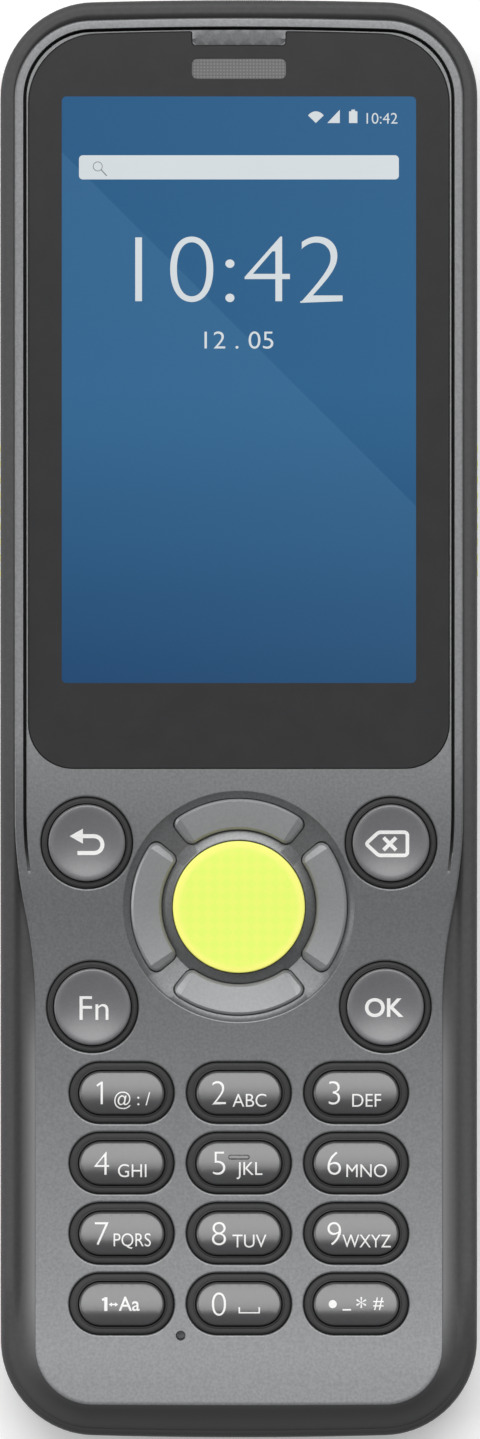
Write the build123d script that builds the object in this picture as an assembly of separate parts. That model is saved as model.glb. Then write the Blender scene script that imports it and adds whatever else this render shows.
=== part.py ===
from build123d import *
import math
import os

os.makedirs("parts", exist_ok=True)

# A hand-held bar code data terminal: a long, slim case with the display above and a dished
# keypad below, a scan window in its top end and a battery pack let into its back.
# Millimetres. It lies on its back: screen up (+Z), scan window towards +Y, and the origin is
# on the back face, under the middle of the case.

# ---- case as a whole ----
body_width = 61.0
body_length = 184.0
half_width = body_width / 2
top_end = body_length / 2
low_end = -top_end
rim_z = 20.4                # back face to the rim round the display
corner_radius = 11.7
end_crown = 0.7             # how far the ends bow out between their corners
part_z = 9.6                # where front and rear housing meet
bumper_z = 6.0              # lower edge of the rubber bumper
shell_wall = 1.6            # front housing
face_gap = 0.03             # between pieces that seat face to face on a curve
run_gap = 0.12              # round a key in its hole
part_gap = 0.1              # between neighbouring parts inside the case
cut_over = 1.0              # cutters run this far past the faces they open
fine_sides = 16             # round parts inside the case are drawn with this many flats
plain_sides = 8             # and small bores and bosses with this many

# ---- front housing outline: wide round the display, slimmer at the grip ----
head_half_width = half_width - 1.8      # the bumper shows beside the head, beside the grip
grip_half_width = half_width - 4.45
front_top = top_end - 2.3               # and past the ends, this wide
front_bottom = low_end + 4.4
front_top_radius = 9.6
front_bottom_radius = 7.3
waist_top = low_end + 81.0
waist_bottom = low_end + 54.0

# ---- the dished deck, drawn along the case ----
rail_rise = 0.5             # the rim stands this far above the lens
deck_wall = 1.6
valley_y = low_end + 41.0   # lowest place of the dish
steep_y = low_end + 69.0    # steepest place, under the navigation keys
lower_dish_radius = 367.0
upper_dish_radius = 268.0
brow_radius = 187.0         # rolls the dish over into the flat round the lens
rail_start_y = low_end + 89.4   # the side rails start to fall here
rail_end_y = low_end + 72.7     # and run out into the deck here

# ---- lens, display and what is under them ----
rail_inner_half = head_half_width - 1.2
rail_inner_top = front_top - 1.15
rail_inner_radius = 9.0
groove_width = 0.35
groove_depth = 0.6
strip_width = 0.22          # of deck between the groove and the lens
lens_half_width = rail_inner_half - groove_width - strip_width
lens_top_y = rail_inner_top - groove_width - strip_width
lens_bottom_y = low_end + 85.7
lens_top_radius = 8.6
lens_bottom_radius = 5.8
lens_thickness = 1.2
ledge_thickness = 1.5
display_half_width = lens_half_width - 1.93
display_top_y = top_end - 10.8
display_bottom_y = lens_bottom_y + 2.9
display_thickness = 2.6
frame_thickness = 1.0
frame_side_gap = 0.25
tab_half_width = 6.0        # small tongue of the rim that reaches into the lens
tab_bottom_y = lens_top_y - 1.8
tab_corner = 0.5
slot_half_width = 6.05      # earpiece slot
slot_top_y = lens_top_y - 3.45
slot_bottom_y = slot_top_y - 2.65
slot_lip = 0.5              # ledge that carries the mesh, at the ends of the slot
slot_corner = 0.75
mesh_drop = 0.15
frame_window = (8.0, 14.0)  # openings for the display's cables
frame_window_place = (15.0, display_top_y - 15.2)
earpiece_y = (slot_top_y - 2.55, slot_top_y + 1.45)

# ---- keys ----
column_pitch = 15.0
first_row_y = low_end + 44.2
row_pitch = 9.0
number_cap = (10.9, 5.6)
number_collar = (13.3, 7.75)
round_cap_radius = 4.93
round_collar_radius = 5.8
upper_round_key = (head_half_width - 9.25, low_end + 76.2)
lower_round_key = (grip_half_width - 7.3, low_end + 55.2)
navigation_y = steep_y - 1.0
arc_collar_gap = 1.46       # between the arc keys and the nearest round key's collar
arc_outer_radius = math.hypot(
    upper_round_key[0], upper_round_key[1] - navigation_y
) - round_collar_radius - arc_collar_gap
arc_inner_radius = arc_outer_radius - 3.95
scan_key_radius = arc_inner_radius - 1.45
arc_half_angle = 39.0
arc_corner_radius = 1.1
arc_outer_rise = 0.25       # over the deck at the arc key's outer edge
arc_inner_rise = -0.15
scan_key_chamfer = 0.4
trough_inner_radius = scan_key_radius - 0.55    # its walls meet the tangent plane here,
trough_outer_radius = arc_outer_radius + 1.0    # under the scan key, and outside the arc keys
trough_floor = (arc_inner_radius + 0.3, arc_outer_radius - 0.55)
trough_depth = 0.8
key_travel = 0.5
key_rise = 0.45             # cap edge over the deck
cap_crown = 0.6             # middle of a number cap over its edge
round_cap_hollow = 0.45     # dished top of a round key: its depth, the flat ring round it
round_cap_ring = 0.5        # and the floor
round_cap_floor = 1.8
collar_rise = 0.3
flange_overhang = 0.55
arc_flange_overhang = 0.45
scan_flange_overhang = 0.35
flange_thickness = 0.6
flange_gap = 0.1            # under the plate, and over the pressed key's plunger
plate_thickness = 0.8
plate_top_z = 15.5
collar_gap = 0.08
bezel_top_y = lens_bottom_y - 3.1
bezel_bottom_y = low_end + 12.25
cap_stock = 3.0             # caps are cut down from this far over the deck

# ---- side keys ----
side_key_y = top_end - 65.25
side_key_length = 19.1
side_key_height = 4.2
side_key_z = 12.3
side_key_corner = 1.4
side_ridges = 9
side_ridge_pitch = 2.0
side_ridge_rise = 0.3
side_ridge_half = 0.45
side_ridge_end = 0.5        # the ridges stop this far short of the key's long edges
side_key_proud = 0.15       # ridge crests over the side of the case
side_key_travel = 0.5
side_flange = 0.45
side_flange_thickness = 0.95
side_flange_gap = 0.2       # to the wall, before the key springs back
power_key_y = top_end - 42.0
power_key_length = 8.0
power_key_drop = 0.1        # its face lies this far under the side of the case
side_switch = (3.4, 3.6, 1.4)

# ---- main board ----
board_z = 11.3
board_thickness = 0.9
board_half_width = grip_half_width - shell_wall - 0.85
board_top_y = top_end - 24.0
board_bottom_y = low_end + 11.5
tongue_half_width = 13.5
tongue_bottom_y = low_end + 7.2
dome_height = 0.25
dome_width = 3.6
membrane_thickness = 0.5
membrane_y = (bezel_bottom_y + 2.75, bezel_top_y - 0.6)
plunger_width = 2.4
can_height = 1.8
can_chamfer = 0.3
can_side_x = board_half_width - 3.6
can_middle_x = 2.0
can_upper_y = (top_end - 62.0, top_end - 34.0)
can_lower_y = (bezel_top_y + 12.4, top_end - 66.0)

# ---- rear housing ----
rear_inset = 0.3
back_edge_chamfer = 1.8
floor_thickness = 2.0
rear_wall = 1.8
head_cavity_y = top_end - 54.5
bead_width = 2.5            # rounded bead along the outside of the bumper
bead_chamfer = 0.8
bead_drop = 0.4             # under the deck line and the rim
cove_depth = 0.5
seal_inset = 0.55
seal_width = 0.6
seal_depth = 0.5
screw_places = [
    (head_half_width - 8.7, front_top - 4.4),
    (head_half_width - 2.6, lens_bottom_y + 0.1),
    (grip_half_width - 6.05, front_bottom + 4.1),
]
screw_shank_radius = 0.95
screw_shank_gap = 0.2
screw_socket = (0.9, 0.7)   # hexagon, corner radius and depth
thread_gap = 0.03
screw_head_radius = 1.9
screw_head_height = 1.2
screw_seat_z = 4.2
screw_tip_z = 13.0
counterbore_radius = 2.2
insert_radius = 1.6
insert_length = 3.6
boss_radius = 2.3
boss_top_z = 17.5
head_boss_radius = 3.0
board_posts = [
    (board_half_width - 2.6, low_end + 18.0), (board_half_width - 2.6, low_end + 52.0),
    (board_half_width - 2.6, top_end - 62.0), (board_half_width - 1.1, top_end - 36.0),
]
post_half = 1.4
foot_well_y = (low_end + 5.8, low_end + 10.2)   # room under the board, behind the port
foot_well_z = 4.0

# ---- battery pack, let into the back and tipped out about its upper edge ----
pack_half_width = half_width - 7.3
pack_top_y = top_end - 59.0
pack_bottom_y = low_end + 19.0
pack_skin = 1.6
pack_corner = 3.0
pack_gap = 0.3
pack_block_half = pack_half_width - 0.9
pack_block_top_y = pack_top_y - 2.0
pack_block_bottom_y = pack_bottom_y + 0.6
pack_block_z = 7.6
pack_swing_gap = 0.8        # the lower end moves out a little as the pack tips
bay_z = 8.2
cell_half_width = pack_block_half - 0.8
cell_top_y = pack_block_top_y - 3.0
cell_bottom_y = pack_bottom_y + 10.0
hook_x = 12.0
hook_half_width = 3.0
hook_length = 2.0
hook_thickness = 1.0
hook_gap = 0.3
hook_rise = 0.4             # top of a hook over the inside of the skin
hook_root = 1.0
hook_swing_gap = 2.2        # room over a hook as the pack tips out
skin_chamfer = 0.3
latch_y = pack_bottom_y + 6.8
latch_half_width = 4.5
latch_top_end = 2.2
latch_travel = 3.0
latch_plate = 1.0
latch_drop = 0.2            # the slide's face, and the ends of its runway
grip_radius = 0.15
grip_offsets = (-1.2, 0.0, 1.2)
grip_margin = 1.0
bolt_half_width = 3.0
bolt_thickness = 1.0
bolt_side_gap = 0.4
bolt_top_gap = 0.15
cell_gap = 0.1
cell_drop = 0.2
cell_chamfer = 0.8
terminal_x = (-8.0, 8.0)    # sprung connector, board to pack
terminal_y = (pack_block_top_y - 9.0, pack_block_top_y - 4.0)
pad_places = (-5.25, -1.75, 1.75, 5.25)
pad_half_width = 1.0
pad_thickness = 0.2

# ---- top end: scan window and engine ----
window_half_width = 12.5
window_z = (7.0, 13.4)
window_thickness = 1.0
window_recess = 0.6
tunnel_half_width = 11.3
engine_half_width = 10.0
engine_y = (top_end - 19.5, top_end - 5.5)
engine_z = (5.3, 14.9)
reader_x = -4.0             # camera of the engine, in its front face
reader_hole = (2.6, 1.5)
reader_lens = (2.2, 1.0)
aimer_x = 4.5
aimer_hole = (6.0, 4.0, 0.8)
aimer_corner = 0.5
foot_x = (7.0, 9.0)         # ribs that carry the engine
foot_y = (engine_y[0] + 0.5, engine_y[1] - 1.5)

# ---- ports and small parts ----
usb_width = 8.94
usb_height = 3.2
usb_outer_y = low_end + 0.8
usb_inner_y = low_end + 8.1
usb_shell = 0.3
usb_gap = 0.15
usb_back_wall = 1.0
usb_tongue = (6.6, 0.7)
usb_tongue_set_back = 0.8
contact_pitch = 3.0
contact_count = 6
contact_y = low_end + 7.8
contact_size = (1.6, 3.4)
contact_recess = 0.15
contact_top_z = 4.4
bar_y = low_end + 13.5
bar_z = 1.7
bar_radius = 0.9
bar_top_end = 8.0
bar_recess = (12.0, 3.6, 3.6)
camera_y = top_end - 34.0
camera_window_radius = 5.0
camera_window_thickness = 0.8
camera_hole_radius = 4.0
camera_body = 8.6
camera_body_height = 5.0
lens_barrel_radius = 3.2
lens_barrel_gap = 0.25
window_drop = 0.15          # windows in the back lie this far under its face
window_fit = 0.05
flash_x = 9.5
flash_radius = 2.0
mic_place = (-7.45, low_end + 13.15)
mic_hole_radius = 0.55
mic_size = (3.8, 2.6, 1.1)
speaker_place = (-14.0, top_end - 40.0)
speaker_size = (11.0, 15.0, 3.2)
speaker_slots = 5
speaker_slot = (7.0, 1.0)
speaker_slot_pitch = 2.2
antenna_x = (head_half_width - 13.7, head_half_width - 3.7)
antenna_y = (top_end - 30.0, top_end - 12.0)
antenna_track = 4.0
antenna_thickness = 0.2
motor_place = (15.0, top_end - 44.0)
motor_radius = 4.0
motor_height = 2.7
nib_size = (2.7, 0.55, 0.3)
nib_place_y = 0.8           # over the middle of the 5 key

# ---- worked out from the above ----
deck_top_z = rim_z - rail_rise
steep_angle = math.asin((steep_y - valley_y) / upper_dish_radius)
steep_z = deck_top_z - brow_radius * (1 - math.cos(steep_angle))
valley_z = steep_z - upper_dish_radius * (1 - math.cos(steep_angle))
brow_y = steep_y + brow_radius * math.sin(steep_angle)
lens_seat_z = deck_top_z - lens_thickness
ledge_z = lens_seat_z - ledge_thickness
frame_top_z = lens_seat_z - display_thickness
plate_bottom_z = plate_top_z - plate_thickness
flange_top_z = plate_bottom_z - flange_gap
flange_bottom_z = flange_top_z - flange_thickness
board_top_z = board_z + board_thickness
membrane_z = board_top_z + dome_height
plunger_top_z = flange_bottom_z - key_travel - flange_gap
hook_z = pack_skin - hook_thickness + hook_rise
side_flange_x = head_half_width - shell_wall - side_flange_gap
insert_top_z = part_z + insert_length
number_names = [
    ["key_1", "key_2", "key_3"],
    ["key_4", "key_5", "key_6"],
    ["key_7", "key_8", "key_9"],
    ["key_case", "key_0", "key_symbol"],
]
round_places = {
    "key_back": (-upper_round_key[0], upper_round_key[1]),
    "key_delete": upper_round_key,
    "key_fn": (-lower_round_key[0], lower_round_key[1]),
    "key_ok": lower_round_key,
}
number_places = {
    name: ((column - 1) * column_pitch, first_row_y - row * row_pitch)
    for row, names in enumerate(number_names)
    for column, name in enumerate(names)
}
arc_turns = {"nav_up": 90, "nav_left": 180, "nav_down": 270, "nav_right": 0}
arc_mid_radius = (arc_inner_radius + arc_outer_radius) / 2
arc_places = {
    name: (
        arc_mid_radius * math.cos(math.radians(turn)),
        navigation_y + arc_mid_radius * math.sin(math.radians(turn)),
    )
    for name, turn in arc_turns.items()
}
all_screws = [(side * x, y) for x, y in screw_places for side in (-1, 1)]


# ---- plain solids and outlines ----
def block(x_range, y_range, z_range):
    """Box from its two ends on each axis."""
    spans = (x_range, y_range, z_range)
    middle = Pos(*(sum(span) / 2 for span in spans))
    return middle * Box(*(span[1] - span[0] for span in spans))


def column(place, radius, z_range):
    """Upright cylinder at an XY place."""
    height = z_range[1] - z_range[0]
    return Pos(place[0], place[1], sum(z_range) / 2) * Cylinder(radius, height)


def many_sided(place, radius, sides, z_range):
    """Upright bar with flat sides, measured across them from its middle."""
    outline = Pos(*place) * RegularPolygon(radius, sides, major_radius=False)
    return prism(outline, z_range)


def square_post(place, width, z_range):
    """Upright square bar at an XY place."""
    return prism(Pos(*place) * Rectangle(width, width), z_range)


def prism(outline, z_range):
    """Outline in XY, stood up between two heights."""
    return extrude(Pos(0, 0, z_range[0]) * outline, z_range[1] - z_range[0], dir=(0, 0, 1))


def bowed_outline(half, top, bottom, top_radius, bottom_radius):
    """Straight sides, ends that bow out a little, and rounded corners."""
    with BuildSketch() as sketch:
        with BuildLine():
            Line((half, bottom + end_crown), (half, top - end_crown))
            ThreePointArc((half, top - end_crown), (0, top), (-half, top - end_crown))
            Line((-half, top - end_crown), (-half, bottom + end_crown))
            ThreePointArc((-half, bottom + end_crown), (0, bottom), (half, bottom + end_crown))
        make_face()
        fillet(sketch.vertices().sort_by(Axis.Y)[-2:], top_radius)
        fillet(sketch.vertices().sort_by(Axis.Y)[:2], bottom_radius)
    return sketch.sketch


def silhouette(inset=0.0):
    """Outline of the whole case, seen from the front."""
    reach = top_end - inset
    radius = corner_radius - inset
    return bowed_outline(half_width - inset, reach, -reach, radius, radius)


def front_outline(inset=0.0):
    """Outline of the front housing, with its S-shaped waist on both sides."""
    wide = head_half_width - inset
    slim = grip_half_width - inset
    top = front_top - inset - end_crown
    bottom = front_bottom + inset + end_crown
    mid_x = (wide + slim) / 2
    mid_y = (waist_top + waist_bottom) / 2
    with BuildSketch() as sketch:
        with BuildLine():
            for side in (-1, 1):
                Line((side * slim, bottom), (side * slim, waist_bottom))
                TangentArc((side * slim, waist_bottom), (side * mid_x, mid_y), tangent=(0, 1))
                TangentArc((side * wide, waist_top), (side * mid_x, mid_y), tangent=(0, -1))
                Line((side * wide, waist_top), (side * wide, top))
            ThreePointArc((wide, top), (0, top + end_crown), (-wide, top))
            ThreePointArc((-slim, bottom), (0, bottom - end_crown), (slim, bottom))
        make_face()
        fillet(sketch.vertices().sort_by(Axis.Y)[-2:], front_top_radius - inset)
        fillet(sketch.vertices().sort_by(Axis.Y)[:2], front_bottom_radius - inset)
    return sketch.sketch


def rail_outline(inset=0.0):
    """Inner edge of the rim round the lens, down to where its side rails run out."""
    half = rail_inner_half - inset
    top = rail_inner_top - inset
    with BuildSketch() as sketch:
        with BuildLine():
            Polyline(
                (half, top - end_crown), (half, rail_end_y),
                (-half, rail_end_y), (-half, top - end_crown),
            )
            ThreePointArc((-half, top - end_crown), (0, top), (half, top - end_crown))
        make_face()
        fillet(sketch.vertices().sort_by(Axis.Y)[-2:], rail_inner_radius - inset)
    return sketch.sketch


def lens_outline(grow=0.0):
    """Outline of the lens, or of its pocket."""
    return bowed_outline(
        lens_half_width + grow, lens_top_y + grow, lens_bottom_y - grow,
        lens_top_radius + grow, lens_bottom_radius + grow,
    )


def slab(half, top, bottom, radius):
    """Rounded rectangle between two Y places, centred on the case."""
    return Pos(0, (top + bottom) / 2) * RectangleRounded(2 * half, top - bottom, radius)


# ---- the deck line ----
def deck_height(y):
    """Height of the dished deck along the middle of the case."""
    if y < valley_y:
        return valley_z + lower_dish_radius - math.sqrt(lower_dish_radius**2 - (y - valley_y)**2)
    if y < steep_y:
        return valley_z + upper_dish_radius - math.sqrt(upper_dish_radius**2 - (y - valley_y)**2)
    if y < brow_y:
        return deck_top_z - brow_radius + math.sqrt(brow_radius**2 - (y - brow_y)**2)
    return deck_top_z


def deck_slope(y):
    """Angle of the deck there, in radians, positive where it climbs towards +Y."""
    if y < valley_y:
        return math.asin((y - valley_y) / lower_dish_radius)
    if y < steep_y:
        return math.asin((y - valley_y) / upper_dish_radius)
    return math.asin(max(brow_y - y, 0) / brow_radius)


def deck_plane(place):
    """Plane that touches the deck at an XY place."""
    slope = deck_slope(place[1])
    return Plane(
        origin=(place[0], place[1], deck_height(place[1])),
        x_dir=(1, 0, 0),
        z_dir=(0, -math.sin(slope), math.cos(slope)),
    )


def under_deck(drop, with_rim=False):
    """Everything under the deck line, or under the rim and its rails, lowered by drop."""
    far = top_end + cut_over
    base = -cut_over

    def at(y):
        return (y, deck_height(y) - drop)

    with BuildSketch() as profile:
        with BuildLine():
            ThreePointArc(at(-far), at((valley_y - far) / 2), at(valley_y))
            ThreePointArc(at(valley_y), at((valley_y + steep_y) / 2), at(steep_y))
            if with_rim:
                end_slope = deck_slope(rail_end_y)
                end = (far, rim_z - drop)
                ThreePointArc(at(steep_y), at((steep_y + rail_end_y) / 2), at(rail_end_y))
                third = (rail_start_y - rail_end_y) / 3
                leave = deck_height(rail_end_y) - drop + third * math.tan(end_slope)
                Bezier(
                    at(rail_end_y), (rail_end_y + third, leave),
                    (rail_start_y - third, rim_z - drop), (rail_start_y, rim_z - drop),
                )
                Line((rail_start_y, rim_z - drop), end)
            else:
                end = (far, deck_top_z - drop)
                ThreePointArc(at(steep_y), at((steep_y + brow_y) / 2), at(brow_y))
                Line(at(brow_y), end)
            Polyline(end, (far, base), (-far, base), at(-far))
        make_face()
    return extrude(Plane.YZ * profile.sketch, body_width, both=True)


# ---- outlines of the keys, at their places ----
def stadium(place, size, grow=0.0):
    return Pos(*place) * SlotOverall(size[0] + 2 * grow, size[1] + 2 * grow)


def disc(place, radius):
    return Pos(*place) * Circle(radius)


def arc_key_outline(turn, grow=0.0):
    """Ring sector with rounded corners, one of the four round the scan key."""
    inner = arc_inner_radius - grow
    outer = arc_outer_radius + grow
    lean = math.radians(arc_half_angle)
    widen = grow / arc_mid_radius
    with BuildSketch() as sketch:
        with BuildLine():
            ends = [(math.cos(a), math.sin(a)) for a in (-lean - widen, lean + widen)]
            ThreePointArc(
                (ends[0][0] * outer, ends[0][1] * outer), (outer, 0),
                (ends[1][0] * outer, ends[1][1] * outer),
            )
            ThreePointArc(
                (ends[0][0] * inner, ends[0][1] * inner), (inner, 0),
                (ends[1][0] * inner, ends[1][1] * inner),
            )
            for x, y in ends:
                Line((x * inner, y * inner), (x * outer, y * outer))
        make_face()
        fillet(sketch.vertices(), arc_corner_radius)
    return Pos(0, navigation_y) * Rot(0, 0, turn) * sketch.sketch


def collar_outlines(grow):
    """The dark collars of the number keys and the round keys."""
    numbers = [stadium(place, number_collar, grow) for place in number_places.values()]
    rounds = [disc(place, round_collar_radius + grow) for place in round_places.values()]
    return numbers + rounds


def navigation_outlines(grow):
    """Holes of the scan key and of the four arc keys."""
    arcs = [arc_key_outline(turn, grow) for turn in arc_turns.values()]
    return [disc((0, navigation_y), scan_key_radius + run_gap + grow)] + arcs


def side_key_hole(y, length, side, x_range, grow):
    """Rounded bar through the side of the case."""
    size = (length + 2 * grow, side_key_height + 2 * grow)
    outline = RectangleRounded(*size, side_key_corner + grow)
    start = Plane(origin=(side * x_range[0], y, side_key_z), x_dir=(0, 1, 0), z_dir=(side, 0, 0))
    return extrude(start * outline, x_range[1] - x_range[0])


def side_openings(grow):
    """Cutters for the two side scan keys and the power key."""
    reach = (head_half_width - 2 * shell_wall, half_width + 1)
    return [
        side_key_hole(side_key_y, side_key_length, side, reach, grow) for side in (-1, 1)
    ] + [side_key_hole(power_key_y, power_key_length, 1, reach, grow)]


def usb_opening():
    """Stadium through the lower end for the charging port."""
    outline = SlotOverall(usb_width + 2 * usb_gap, usb_height + 2 * usb_gap)
    start = Plane(origin=(0, usb_inner_y, usb_z), x_dir=(1, 0, 0), z_dir=(0, -1, 0))
    return extrude(start * outline, top_end + usb_inner_y + 2)


def scan_tunnel():
    """Way from the scan engine out to its window."""
    return block((-tunnel_half_width, tunnel_half_width), (engine_y[1], top_end), window_z)


usb_z = board_z - usb_height / 2


# ---- case ----
def front_housing():
    """Moulded front: rim and rails round the lens, dished deck with the key holes."""
    top_z = rim_z + cut_over
    through = (ledge_z - cut_over, top_z)
    shell = prism(front_outline(), (part_z, top_z)) & under_deck(0, with_rim=True)
    above_deck = prism(rail_outline(), (valley_z, top_z)) - under_deck(0)
    shell -= above_deck
    groove = prism(rail_outline() - rail_outline(groove_width), (0, top_z))
    shell -= groove & block(
        (-half_width, half_width), (rail_end_y, top_end), (deck_top_z - groove_depth, top_z)
    )
    cavity = prism(front_outline(shell_wall), (part_z - cut_over, top_z)) & under_deck(deck_wall)
    cavity -= block(
        (-half_width, half_width), (lens_bottom_y - shell_wall, top_end), (ledge_z, top_z)
    )
    shell -= cavity
    shell -= prism(lens_outline(face_gap) - rim_tab(0), (lens_seat_z, top_z))
    shell -= module_block(2 * part_gap, through)
    shell -= prism(slot_outline(-slot_lip), through)
    for place in all_screws:
        shell += many_sided(place, boss_radius, plain_sides, (part_z, boss_top_z))
    for place in all_screws:
        shell -= many_sided(place, insert_radius, plain_sides,
                            (part_z - cut_over, insert_top_z + part_gap))
    shell -= deck_plane((0, navigation_y)) * trough()
    for outline in collar_outlines(collar_gap) + navigation_outlines(0):
        shell -= prism(outline, (membrane_z, top_z))
    shell -= column(mic_place, mic_hole_radius, (membrane_z, top_z))
    for cutter in side_openings(run_gap) + [usb_opening(), scan_tunnel()]:
        shell -= cutter
    return shell


def trough():
    """Ring-shaped trough that the arc keys lie in, its walls run on up past the deck."""
    floor_in, floor_out = trough_floor
    rise = cut_over + trough_depth
    inner = floor_in - rise * (floor_in - trough_inner_radius) / trough_depth
    outer = floor_out + rise * (trough_outer_radius - floor_out) / trough_depth
    with BuildSketch() as profile:
        with BuildLine():
            Polyline(
                (inner, cut_over), (floor_in, -trough_depth), (floor_out, -trough_depth),
                (outer, cut_over), (inner, cut_over),
            )
        make_face()
    return revolve(Plane.XZ * profile.sketch, Axis.Z)


def rear_housing():
    """Moulded back: battery bay, wells for the scan engine and the ports, screw wells."""
    shell = prism(silhouette(rear_inset), (0, bumper_z))
    shell = chamfer(shell.faces().sort_by(Axis.Z)[0].edges(), back_edge_chamfer)
    shell += prism(front_outline(), (bumper_z, part_z))
    open_z = part_z + cut_over
    head = block((-half_width, half_width), (head_cavity_y, top_end), (0, open_z))
    shell -= prism(front_outline(rear_wall), (floor_thickness, open_z)) & head
    for place in all_screws[:2]:
        shell += many_sided(place, head_boss_radius, plain_sides, (floor_thickness, part_z))
    for place in all_screws:
        shell -= many_sided(place, counterbore_radius, fine_sides, (-cut_over, screw_seat_z))
        shell -= many_sided(place, screw_shank_radius + screw_shank_gap, plain_sides, (0, open_z))
    for x, y in board_posts:
        foot = 0 if y > head_cavity_y else bay_z - floor_thickness
        for side in (-1, 1):
            shell += block((side * x - post_half, side * x + post_half),
                           (y - post_half, y + post_half), (floor_thickness + foot, board_z))
    for side in (-1, 1):
        shell += block(sorted((side * foot_x[0], side * foot_x[1])), foot_y,
                       (floor_thickness, engine_z[0]))
    shell -= prism(
        slab(pack_half_width + pack_gap, pack_top_y + pack_gap, pack_bottom_y - pack_gap,
             pack_corner + pack_gap),
        (-cut_over, pack_skin + bolt_top_gap),
    )
    shell -= block(
        (-pack_block_half - pack_gap, pack_block_half + pack_gap),
        (pack_block_bottom_y - pack_swing_gap, pack_block_top_y + pack_gap), (-cut_over, bay_z),
    )
    for side in (-1, 1):
        hook_reach = hook_half_width + hook_gap
        shell -= block(
            (side * hook_x - hook_reach, side * hook_x + hook_reach),
            (pack_block_top_y, pack_top_y + hook_length + 2 * hook_gap),
            (hook_z - part_gap, hook_z + hook_thickness + hook_swing_gap),
        )
    bolt_reach = bolt_half_width + bolt_side_gap
    shell -= block(
        (-bolt_reach, bolt_reach), (pack_bottom_y - latch_travel, pack_bottom_y + 2 * part_gap),
        (latch_plate, latch_plate + bolt_thickness + bolt_side_gap),
    )
    shell -= block(
        (terminal_x[0] - part_gap, terminal_x[1] + part_gap),
        (terminal_y[0] - part_gap, terminal_y[1] + part_gap), (bay_z - cut_over, open_z),
    )
    shell -= prism(seal_ring(), (part_z - seal_depth, open_z))
    shell -= block((-tongue_half_width, tongue_half_width), foot_well_y, (foot_well_z, open_z))
    for contact in contact_blocks(part_gap, (-cut_over, foot_well_z + cut_over)):
        shell -= contact
    shell -= block(
        (-bar_recess[0] / 2, bar_recess[0] / 2),
        (bar_y - bar_recess[1] / 2, bar_y + bar_recess[1] / 2), (-cut_over, bar_recess[2]),
    )
    shell -= Pos(0, bar_y, bar_z) * Rot(0, 90, 0) * Cylinder(bar_radius + face_gap,
                                                            2 * bar_top_end)
    floor = (-cut_over, floor_thickness + cut_over)
    camera = (0, camera_y)
    shell -= column(camera, camera_window_radius + window_fit,
                    (-cut_over, window_drop + camera_window_thickness))
    shell -= column(camera, camera_hole_radius, floor)
    shell -= column((flash_x, camera_y), flash_radius + window_fit, floor)
    slot_half = speaker_slot[0] / 2, speaker_slot[1] / 2
    for index in range(speaker_slots):
        y = speaker_place[1] + (index - (speaker_slots - 1) / 2) * speaker_slot_pitch
        shell -= block((speaker_place[0] - slot_half[0], speaker_place[0] + slot_half[0]),
                       (y - slot_half[1], y + slot_half[1]), floor)
    for cutter in [usb_opening(), scan_tunnel()]:
        shell -= cutter
    return shell


def bumper():
    """Rubber band moulded round the case: a bead outside, and a cove beside the grip."""
    top_z = rim_z + cut_over
    band = prism(silhouette() - front_outline(-face_gap), (bumper_z, top_z))
    band &= under_deck(bead_drop, with_rim=True)
    crest = [edge for edge in band.edges() if on_silhouette(edge)]
    band = chamfer(crest, bead_chamfer)
    cove = prism(silhouette(bead_width), (bumper_z, top_z))
    band -= cove - under_deck(bead_drop + cove_depth, with_rim=True)
    for cutter in side_openings(run_gap) + [usb_opening(), scan_tunnel()]:
        band -= cutter
    window_reach = window_half_width + part_gap
    inner_y = top_end - window_recess - window_thickness
    band -= block(
        (-window_reach, window_reach), (inner_y, top_end + cut_over),
        (window_z[0] - part_gap, window_z[1] + part_gap),
    )
    return band


def on_silhouette(edge):
    """True for the edges round the top of the band's outer wall."""
    middle = edge.position_at(0.5)
    along = abs(edge.tangent_at(0.5).Z) < 0.5 and middle.Z > part_z
    rim = silhouette().wires()[0]
    return along and rim.distance_to(Vertex(middle.X, middle.Y, 0)) < face_gap


def seal_ring():
    return front_outline(seal_inset) - front_outline(seal_inset + seal_width)


def housing_gasket():
    """Sealing cord in two lengths, broken at the scan window and at the charging port."""
    cord = prism(seal_ring(), (part_z - seal_depth, part_z))
    return cord - scan_tunnel() - usb_opening()


# ---- display stack ----
def rim_tab(grow):
    """Tongue of the rim that the lens is notched round."""
    return slab(tab_half_width + grow, lens_top_y + lens_thickness, tab_bottom_y - grow,
                tab_corner)


def slot_outline(grow):
    return slab(slot_half_width + grow, slot_top_y + grow, slot_bottom_y - grow,
                slot_corner + grow)


def module_block(grow, z_range):
    half = display_half_width + grow
    return block((-half, half), (display_bottom_y - grow, display_top_y + grow), z_range)


def display_lens():
    outline = lens_outline() - rim_tab(face_gap) - slot_outline(0)
    return prism(outline, (lens_seat_z, deck_top_z))


def earpiece_mesh():
    return prism(slot_outline(-face_gap), (lens_seat_z, deck_top_z - mesh_drop))


def display_module():
    return module_block(0, (frame_top_z, lens_seat_z))


def mid_frame():
    """Cast plate that carries the display, cut out over the main board's connectors."""
    half = head_half_width - shell_wall - frame_side_gap
    plate = block((-half, half), (display_bottom_y, display_top_y + part_gap),
                  (frame_top_z - frame_thickness, frame_top_z))
    for side in (-1, 1):
        window = Pos(side * frame_window_place[0], frame_window_place[1]) * Rectangle(*frame_window)
        plate -= prism(window, (frame_top_z - frame_thickness - cut_over, frame_top_z + cut_over))
    return plate


def earpiece():
    return block((-slot_half_width, slot_half_width), earpiece_y, (engine_z[1] + part_gap, ledge_z))


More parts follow.
